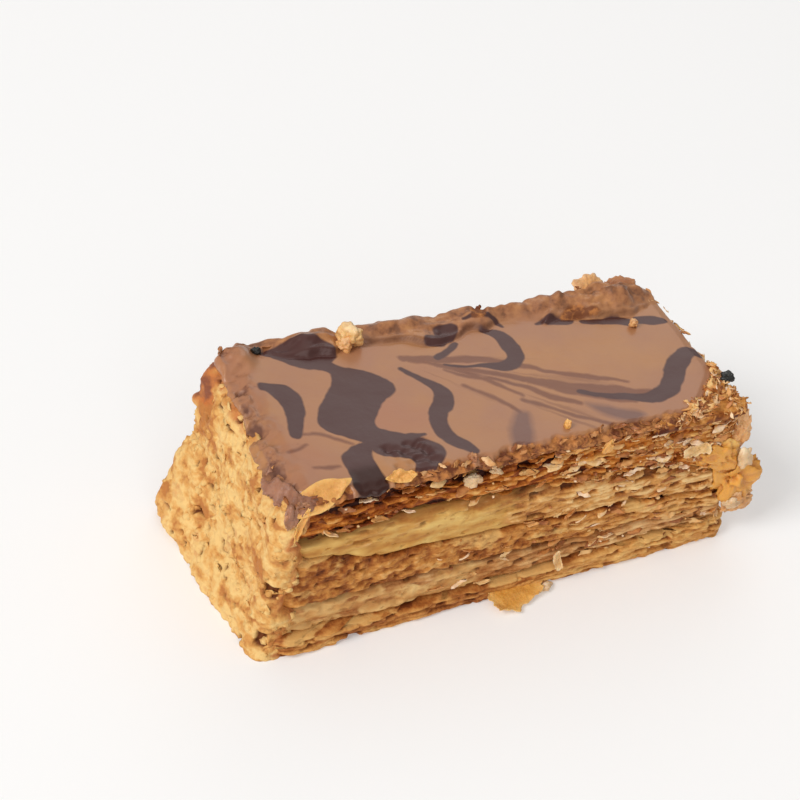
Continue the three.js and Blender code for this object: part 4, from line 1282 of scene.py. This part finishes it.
def sprinkleTree():  # scatters four shapes over a surface, by its own density attribute
    tree, given = growTree("sprinkle", sprinkleSizes)
    seed = given["seed"]
    density = times(tree, valueOf(tree, "density"), given["density"])
    surface = {"Mesh": given["Geometry"], "Density": density, "Seed": seed}
    spots = put(tree, "GeometryNodeDistributePointsOnFaces", surface).outputs["Points"]
    shapes = put(tree, "GeometryNodeJoinGeometry")
    for n in (4, 3, 2, 1):
        shape = put(tree, "GeometryNodeObjectInfo", {"Object": given[f"shape{n}"]}).outputs["Geometry"]
        tree.links.new(put(tree, "GeometryNodeGeometryToInstance", {0: shape}).outputs[0], shapes.inputs[0])
    most = [given[label] for label in ("roll", "pitch", "swerve")]
    limits = []
    for roll, pitch, swerve in ([times(tree, value, -1.0) for value in most], most):
        turned = plus(tree, swerve, valueOf(tree, "heading"))
        angles = {"X": plus(tree, roll, given["lean"]), "Y": pitch, "Z": turned}
        limits.append(put(tree, "ShaderNodeCombineXYZ", angles).outputs[0])
    turn = {"Euler": drawn(tree, "FLOAT_VECTOR", *limits, plus(tree, seed, 11.0))}
    placed = put(tree, "GeometryNodeInstanceOnPoints", {
        "Points": spots, "Instance": shapes.outputs[0], "Pick Instance": True,
        "Instance Index": drawn(tree, "INT", 0, 3, seed),
        "Rotation": put(tree, "FunctionNodeEulerToRotation", turn).outputs[0],
        "Scale": drawn(tree, "FLOAT", given["smallest"], given["largest"], plus(tree, seed, 23.0)),
    }).outputs[0]
    tint = drawn(tree, "FLOAT", 0.0, 1.0, plus(tree, seed, 37.0))
    return finishTree(tree, marked(tree, placed, "tint", tint), given["material"])


def cutCarrier():  # the cut faces as a plain band, with how thickly flakes lie on each part
    x, y, nx, ny = outlineOf(layerLeft + 4, right, front, back, layerCuts, 1.5)
    gridX, gridZ = np.meshgrid(x, np.linspace(1.0, 40.5, 28))
    gridY, heading = (np.broadcast_to(values, gridX.shape) for values in (y, np.arctan2(nx, -ny)))
    at = {name: levelAt(name, gridX) for name in levels}
    inTop = between(gridZ, at["upperFilling"] - 1, at["upperFilling"] + 1)
    upperCream = between(gridZ, at["middlePastry"], at["middlePastry"] + 1) * (1 - inTop)
    lowerCream = between(gridZ, at["bottomPastry"], at["bottomPastry"] + 1)
    lowerCream *= 1 - between(gridZ, at["lowerFilling"] - 1, at["lowerFilling"] + 1)
    toRight = between(gridX, -5, 25)
    density = 0.25 + 0.35 * toRight + inTop * (0.15 + 0.95 * toRight)
    density *= 1 - 0.9 * np.maximum(upperCream, lowerCream) * (1 - toRight)
    density *= between(gridX, layerLeft + 5, layerLeft + 10)
    density += 0.5 * between(gridX, 40, 48) * between(-gridY, 8, 16) * between(gridZ, 26, 34)
    points = np.stack([gridX + nx * 0.1, gridY + ny * 0.1, gridZ], -1)
    return makeObject("cutCarrier", points, gridFaces(*gridX.shape), density=density, heading=heading)


def coatCarrier():
    outer, inner, heading, shades = coatSurface()
    some = (slice(1, -2, 6), slice(2, -2, 6))
    points, heading = (outer * 0.85 + inner * 0.15)[some], heading[some]
    y, z = points[:, :, 1], points[:, :, 2]
    density = 1 + 0.8 * between(z, 36, 39) - between(z, 28, 31) * between(y, 4, 10)
    faces = gridFaces(*heading.shape, closed=False)[:, ::-1]
    return makeObject("coatCarrier", points, faces, density=density, heading=heading)


def cornerCarrier():
    points, cover = heapOf("rightHeap", 1.2)
    density = 1.2 * between(cover, -0.6, 0.4)
    heading = grain(points[:, :, 0] / 3, points[:, :, 1] / 3, 1, 47) * 1.5
    faces = gridFaces(*cover.shape, closed=False)
    return makeObject("cornerCarrier", points, faces, density=density, heading=heading)


def rimCarrier():  # the top edges of the slice
    cuts = ((14, 9), (3, 3), (3, 3), (3, 3))
    x, y, nx, ny = outlineOf(left + 1, right - 1.4, front - 0.2, back + 0.2, cuts, 1.0)
    mx, my = worldOf(np.stack([x, y, np.full_like(x, block["height"])], -1))
    atFront = between(-y, 19, 22)
    kind = atFront * (0.35 + 0.65 * between(x, 4, 40)) + (1 - atFront) * 0.06
    kind = kind * (1 - between(x, -45, -43) * (1 - between(x, -35, -33)))
    rows, densities = [], []
    for out, drop, amount in ((0.3, 2.6, 1.0), (0.3, 1.2, 1.0), (-0.4, 0.3, 0.5), (-1.6, 0.2, 0.0)):
        outX, outY = x + nx * out, y + ny * out
        rows.append(np.stack([outX, outY, icingTop(outX, outY, mx, my) - drop], -1))
        densities.append(kind * amount)
    heading = np.tile(np.arctan2(nx, -ny), len(rows))
    return makeObject("rimCarrier", rows, gridFaces(len(rows), len(x)), density=densities, heading=heading)


sprinkles = {  # lean is how far they lean back on the cut; turn is the most each rolls, pitches and swerves
    "cutFlakes": dict(carrier=cutCarrier, shape="flake", shade="pastry", slot="baked_pastry", density=0.15,
        smallest=0.4, largest=1.25, lean=0.3, turn=(0.9, 0.3, 0.5), seed=5),
    "cutCrumbs": dict(carrier=cutCarrier, shape="crumb", shade="pastry", slot="baked_pastry", density=0.05,
        smallest=0.35, largest=0.9, lean=0.0, turn=(3.1, 3.1, 3.1), seed=8),
    "coatCrumbs": dict(carrier=coatCarrier, shape="crumb", shade="coat", slot="golden_crumb", density=0.11,
        smallest=0.5, largest=1.9, lean=0.0, turn=(3.1, 3.1, 3.1), seed=13),
    "coatFlakes": dict(carrier=coatCarrier, shape="flake", shade="coat", slot="golden_crumb",
        density=0.025, smallest=0.7, largest=1.4, lean=1.6, turn=(0.25, 3.1, 0.2), seed=17),
    "cornerFlakes": dict(carrier=cornerCarrier, shape="flake", shade="pastry", slot="baked_pastry",
        density=0.5, smallest=0.4, largest=1.15, lean=0.5, turn=(0.9, 0.6, 1.5), seed=31),
    "edgeFlakes": dict(carrier=rimCarrier, shape="flake", shade="icing", slot="baked_pastry", density=0.6,
        smallest=0.35, largest=1.1, lean=0.3, turn=(1.0, 0.4, 0.9), seed=21),
}


def makeSprinkles():
    tree = sprinkleTree()
    materials = {name: strayMaterial(name + "Strays", shades) for name, shades in strayShades.items()}
    materials["coat"] = coatMaterial("coatStrays")
    shapes = {
        "flake": [flakeShape(f"flakeShape{n}", 200 + n) for n in range(4)],
        "crumb": [crumbShape(f"crumbShape{n}", 210 + n) for n in range(4)],
    }
    for name, kind in sprinkles.items():
        piece = kind["carrier"]()
        piece.name = name
        four = {f"shape{n + 1}": shape for n, shape in enumerate(shapes[kind["shape"]])}
        turn = dict(zip(("roll", "pitch", "swerve"), kind["turn"]))
        grow(piece, tree, kind | four | turn | {"material": materials[kind["shade"]]})
        ready(piece, None)
    for shape in shapes["flake"] + shapes["crumb"]:
        bpy.data.objects.remove(shape)


makeSprinkles()


# Single flakes and crumbs, each where it fell

singleFlakes = {  # place and size in mm from the block's origin, turn in degrees about x, y and z
    "footFlake": dict(node="bottom_pastry", at=(1.8, -25.6, 1.3), size=(14.5, 8.0), turn=(9, 2, 14),
        curl=0.7, ragged=1.6, seed=301, shade="golden"),
    "sliver": dict(node="bottom_pastry", at=(12.4, -24.4, 7.6), size=(6.6, 2.0), turn=(90, 0, 106),
        curl=0.5, ragged=0.2, seed=302, shade="pale"),
    "curledFlake": dict(node="top_pastry", at=(-49.6, -23.6, 40.9), size=(15.6, 5.8), turn=(34, -13, 15),
        curl=-0.5, ragged=0.35, seed=304, shade="gold", taper=0.6),
    "hangingFlake": dict(node="top_pastry", at=(-53.4, -25.3, 36.4), size=(8.6, 1.5), turn=(88, 6, 72),
        curl=0.5, ragged=0.4, seed=311, shade="gold", taper=0.4),
    "hangingIcing": dict(node="icing", at=(-54.3, -24.5, 38.8), size=(6.4, 3.0), turn=(84, 0, 64),
        curl=0.6, ragged=0.9, seed=312, shade="milk", thick=0.5, lumps=0.6),
    "orangeFlake": dict(node="top_pastry", at=(-31.0, -23.6, 41.7), size=(6.6, 2.8), turn=(36, -4, -4),
        curl=0.3, ragged=0.3, seed=305, shade="gold", taper=0.5),
    "rimFlake": dict(node="icing", at=(39.4, 21.4, 45.9), size=(8.6, 5.2), turn=(40, 6, 6), curl=-0.9,
        ragged=0.7, seed=306, shade="rimGold"),
    "brownRimFlake": dict(node="icing", at=(47.2, 20.4, 44.9), size=(8.6, 4.6), turn=(30, -8, -8),
        curl=-0.8, ragged=0.7, seed=307, shade="brown"),
    "cornerFlake": dict(node="top_pastry", at=(44.6, -23.0, 30.6), size=(8.0, 3.0), turn=(80, 4, 2),
        curl=0.6, ragged=1.0, seed=308, shade="pale"),
    "endFlake": dict(node="top_pastry", at=(55.3, -21.8, 36.2), size=(6.4, 3.6), turn=(78, 10, -50),
        curl=0.7, ragged=1.2, seed=309, shade="rimGold"),
}
flakeShades = {  # middle, edge and flecks; on crumbs the edge colour is a painted highlight on top, and the flecks paint shade into pits
    "golden": (tone(222, 160, 72), tone(238, 190, 112), tone(170, 100, 36)),
    "pale": (tone(232, 186, 122), tone(244, 212, 160), tone(190, 128, 64)),
    "gold": (tone(226, 164, 84), tone(238, 186, 106), tone(196, 128, 60)),
    "amber": (tone(228, 161, 64), tone(244, 194, 106), tone(204, 134, 64)),
    "milk": (tone(162, 110, 82), tone(184, 128, 88), tone(108, 66, 50)),
    "cream": (tone(224, 188, 142), tone(240, 216, 180), tone(184, 130, 82)),
    "brown": (tone(166, 108, 70), tone(190, 132, 86), tone(136, 82, 48)),
    "rimGold": (tone(224, 166, 104), tone(236, 187, 134), tone(184, 126, 84)),
    "black": (tone(30, 30, 26), tone(44, 44, 38), tone(18, 16, 14)),
}


def flakeMaterial(name, shades):
    material, tree, shader, place = paint(name)
    middle, edge, fleck = shades
    mottle = noiseIn(tree, place, 300.0, 5.0, rough=0.7)
    colour = mixed(tree, spread(tree, attribute(tree, "rim"), 0.55, 1.0), middle, edge)
    colour = mixed(tree, spread(tree, mottle, 0.48, 0.75, 0, 0.7), colour, fleck)
    # painted shade in the crumbs' pits
    colour = mixed(tree, times(tree, attribute(tree, "pit"), 0.8), colour, fleck)
    finish(tree, shader, colour, 0.42, 0.5, mottle, 0.0005)
    fill(tree, shader, {"Subsurface Weight": 0.2, "Subsurface Radius": (0.0012, 0.0007, 0.0003)})
    return material


def placedAt(points, thing):  # turned about z, then y, then x, and put in its place
    for axis, angle in zip("ZYX", thing.get("turn", (0, 0, 0))[::-1]):
        points = points @ np.array(Matrix.Rotation(math.radians(angle), 3, axis)).T
    return points + np.array(thing["at"]) + np.array([*block["middle"], 0])


def makeFlake(name, flake, materials):
    half, lumps, seed, ragged = flake.get("thick", 0.2), flake.get("lumps", 0), flake["seed"], flake["ragged"]
    u, v = np.meshgrid(np.linspace(-1, 1, 48), np.linspace(-1, 1, 26))
    long, wide = flake["size"][0] / 2, flake["size"][1] / 2
    rounding = 1 - 0.22 * (u * v) ** 2
    x = ragged * abs(u) ** 3 * (0.8 * grain(v * 1.6, 0, 1, seed) + 0.4 * grain(v * 5, u, 2, seed))
    y = ragged * abs(v) ** 3 * (0.8 * grain(u * 2.4, 0, 3, seed) + 0.4 * grain(u * 7, v, 4, seed))
    x, y = long * u * rounding + x, (wide * v * rounding + y) * (1 - flake.get("taper", 0) * u**2)
    z = 0.35 * grain(u * 2.2, v * 1.6, 5, seed) + 0.12 * grain(u * 7, v * 4, 6, seed)
    z = flake["curl"] * (u**2 + 0.5 * v**2) + z
    rim = np.maximum(abs(u), abs(v))
    thin = half * (1 - 0.6 * rim**4)
    lumpy = 0.7 * grain(x / 3.4, y / 2.2, 7, seed) + 0.5 * grain(x / 1.5, y / 1.1, 8, seed)
    lumpy = lumps * lumpy * (1 - rim**4)
    top = np.stack([x, y, z + thin + np.maximum(lumpy, -half)], -1)
    under = np.stack([x, y, z - thin + np.minimum(lumpy[:, ::-1], half)], -1)
    piece = slab(name, placedAt(top, flake), placedAt(under, flake), rim=[rim, rim])
    ready(piece, materials[flake["shade"]], [flake["node"]], leaned=False)


singleCrumbs = {  # place and radius in mm, and for some a stretch along x, y and z and a turn in degrees
    "paleBall": dict(node="icing", at=(-22.6, 20.0, 44.2), radius=2.5, seed=321, shade="pale"),
    "paleBallFoot": dict(node="icing", at=(-24.6, 18.6, 42.9), radius=1.8, seed=322, shade="rimGold"),
    "blackCrumb": dict(node="icing", at=(55.3, -14.0, 41.7), radius=1.5, seed=323, shade="black"),
    "leftBlackCrumb": dict(node="icing", at=(-43.9, 22.6, 42.2), radius=0.9, seed=324, shade="black"),
    "darkBandCrumb": dict(node="icing", at=(44.0, 8.6, 42.8), radius=1.0, seed=325, shade="rimGold"),
    "orangeSpeck": dict(node="icing", at=(-14.2, -22.6, 41.9), radius=1.1, seed=326, shade="brown"),
    "paleCrumb": dict(node="top_pastry", at=(-13.6, -23.4, 36.4), radius=1.5, seed=327, shade="cream",
        stretch=(1.3, 0.8, 0.9)),
    "paleCrumbTwo": dict(node="top_pastry", at=(-8.2, -23.2, 37.4), radius=1.0, seed=328, shade="cream",
        stretch=(1.5, 0.8, 0.8), turn=(0, 20, 0)),
    "amberCream": dict(node="top_pastry", at=(58.4, -23.9, 25.4), radius=1.8, seed=331, shade="cream",
        stretch=(1.0, 0.6, 1.5), turn=(0, -20, 0)),
    "amberPale": dict(node="top_pastry", at=(58.9, -23.6, 11.4), radius=1.6, seed=332, shade="cream",
        stretch=(1.7, 0.6, 0.9), turn=(0, 24, 0)),
    "footCream": dict(node="bottom_pastry", at=(10.0, -25.6, 0.8), radius=1.2, seed=333, shade="cream",
        stretch=(1.7, 1.0, 0.6), turn=(0, 0, 16)),
    "edgeGold": dict(node="icing", at=(10.3, -19.3, 42.5), radius=1.0, seed=334, shade="gold",
        stretch=(0.7, 0.8, 1.1)),
    "edgeGoldTwo": dict(node="top_pastry", at=(12.0, -23.5, 39.2), radius=1.3, seed=335, shade="gold",
        stretch=(1.5, 0.6, 0.8), turn=(0, -16, 0)),
    "edgeGoldThree": dict(node="top_pastry", at=(19.2, -23.4, 37.8), radius=1.3, seed=336, shade="gold",
        stretch=(0.8, 0.6, 1.6), turn=(0, 34, 0)),
    "amberMass": dict(node="top_pastry", at=(59.2, -21.9, 18.6), radius=5.6, seed=303, shade="amber",
        stretch=(1.1, 0.44, 1.6), turn=(0, -22, 0), pitted=0.34),
    "amberRoot": dict(node="top_pastry", at=(53.0, -22.0, 26.2), radius=4.6, seed=310, shade="amber",
        stretch=(1.3, 0.42, 0.9), turn=(0, 30, 0), pitted=0.34),
    "amberTip": dict(node="top_pastry", at=(61.6, -22.2, 11.0), radius=3.1, seed=313, shade="rimGold",
        stretch=(1.5, 0.5, 1.0), turn=(0, -10, 0), pitted=0.3),
    "cornerLump": dict(node="top_pastry", at=(57.2, -21.2, 30.6), radius=2.6, seed=314, shade="rimGold",
        stretch=(0.9, 0.7, 1.9), turn=(0, 4, 0)),
}


def makeCrumb(name, crumb, materials):
    build = bmesh.new()
    bmesh.ops.create_icosphere(build, subdivisions=5 if crumb["radius"] > 2 else 4, radius=1)
    points, faces = built(build)
    (x, y, z), seed, pitted = points.T, crumb["seed"], crumb.get("pitted", 0)
    swell = 1 + 0.4 * grain(x * 1.5, y * 1.5, z * 1.5, seed) + 0.22 * grain(x * 3.4, y * 3.4, z * 3.4, seed)
    swell = swell + 0.08 * grain(x * 8, y * 8, z * 8, seed)
    pit = between(grain(x * 4.6, y * 3.2, z * 6.4, seed + 1), 0.1, 0.45) * (pitted > 0)
    swell = swell - pitted * pit
    points = points * (crumb["radius"] * swell)[:, None] * np.array(crumb.get("stretch", (1, 1, 1)))
    # painted highlight: the edge colour goes over the top of each crumb; its pits take the fleck colour as
    # painted shade
    piece = makeObject(name, placedAt(points, crumb), faces, rim=between(z, 0.2, 1), pit=pit)
    ready(piece, materials[crumb["shade"]], [crumb["node"]], leaned=False)


def makeSingles():
    materials = {name: flakeMaterial(name + "Flake", shades) for name, shades in flakeShades.items()}
    for name, flake in singleFlakes.items():
        makeFlake(name, flake, materials)
    for name, crumb in singleCrumbs.items():
        makeCrumb(name, crumb, materials)
    makeHeap("leftHeap", materials["milk"], "icing")


makeSingles()


# Stage: a plain pale floor, soft light from the upper left and a bright surround

stage = {
    "floor": tone(227, 226, 225),
    "floorGlow": 0.2,  # the floor is overexposed in a plain photograph studio
    "sky": tone(255, 255, 255),
    "glow": tone(255, 253, 250),
    "skyStrength": 0.41,
    "lights": {  # place, side and power of each square light
        "key": ((-2.37, -0.51, 2.08), 1.25, 58.5),
        "above": ((0.2, 0.4, 1.7), 1.4, 3.0),
        "backSheen": ((0.75, 1.05, 0.98), 0.8, 2.1),
        "fill": ((-0.5, -1.38, 0.95), 1.2, 5.8),
    },
}


def areaLight(name, place, size, power):
    data = bpy.data.lights.new(name, "AREA")
    data.shape, data.size, data.energy = "SQUARE", size, power
    made = linked(name, data)
    toward = Vector((0, 0, 0.02)) - Vector(place)
    made.matrix_world = Matrix.Translation(place) @ toward.to_track_quat("-Z", "Y").to_matrix().to_4x4()


def makeStage():
    half = 3.0
    corners = [(-half, -half, 0), (half, -half, 0), (half, half, 0), (-half, half, 0)]
    floor = makeObject("floor", corners, [(0, 1, 2, 3)])
    material, tree, shader, place = paint("paleFloor")
    fill(tree, shader, {
        "Base Color": stage["floor"], "Roughness": 0.9,
        "Emission Color": stage["glow"], "Emission Strength": stage["floorGlow"],
    })
    floor.data.materials.append(material)
    world = bpy.data.worlds.new("surround")
    world.use_nodes = True
    sky = world.node_tree.nodes["Background"]
    fill(world.node_tree, sky, {"Color": stage["sky"], "Strength": stage["skyStrength"]})
    bpy.context.scene.world = world
    for name, (place, size, power) in stage["lights"].items():
        areaLight(name, place, size, power)
    bpy.context.scene.view_settings.view_transform = "Standard"
    print("stage set")


makeStage()
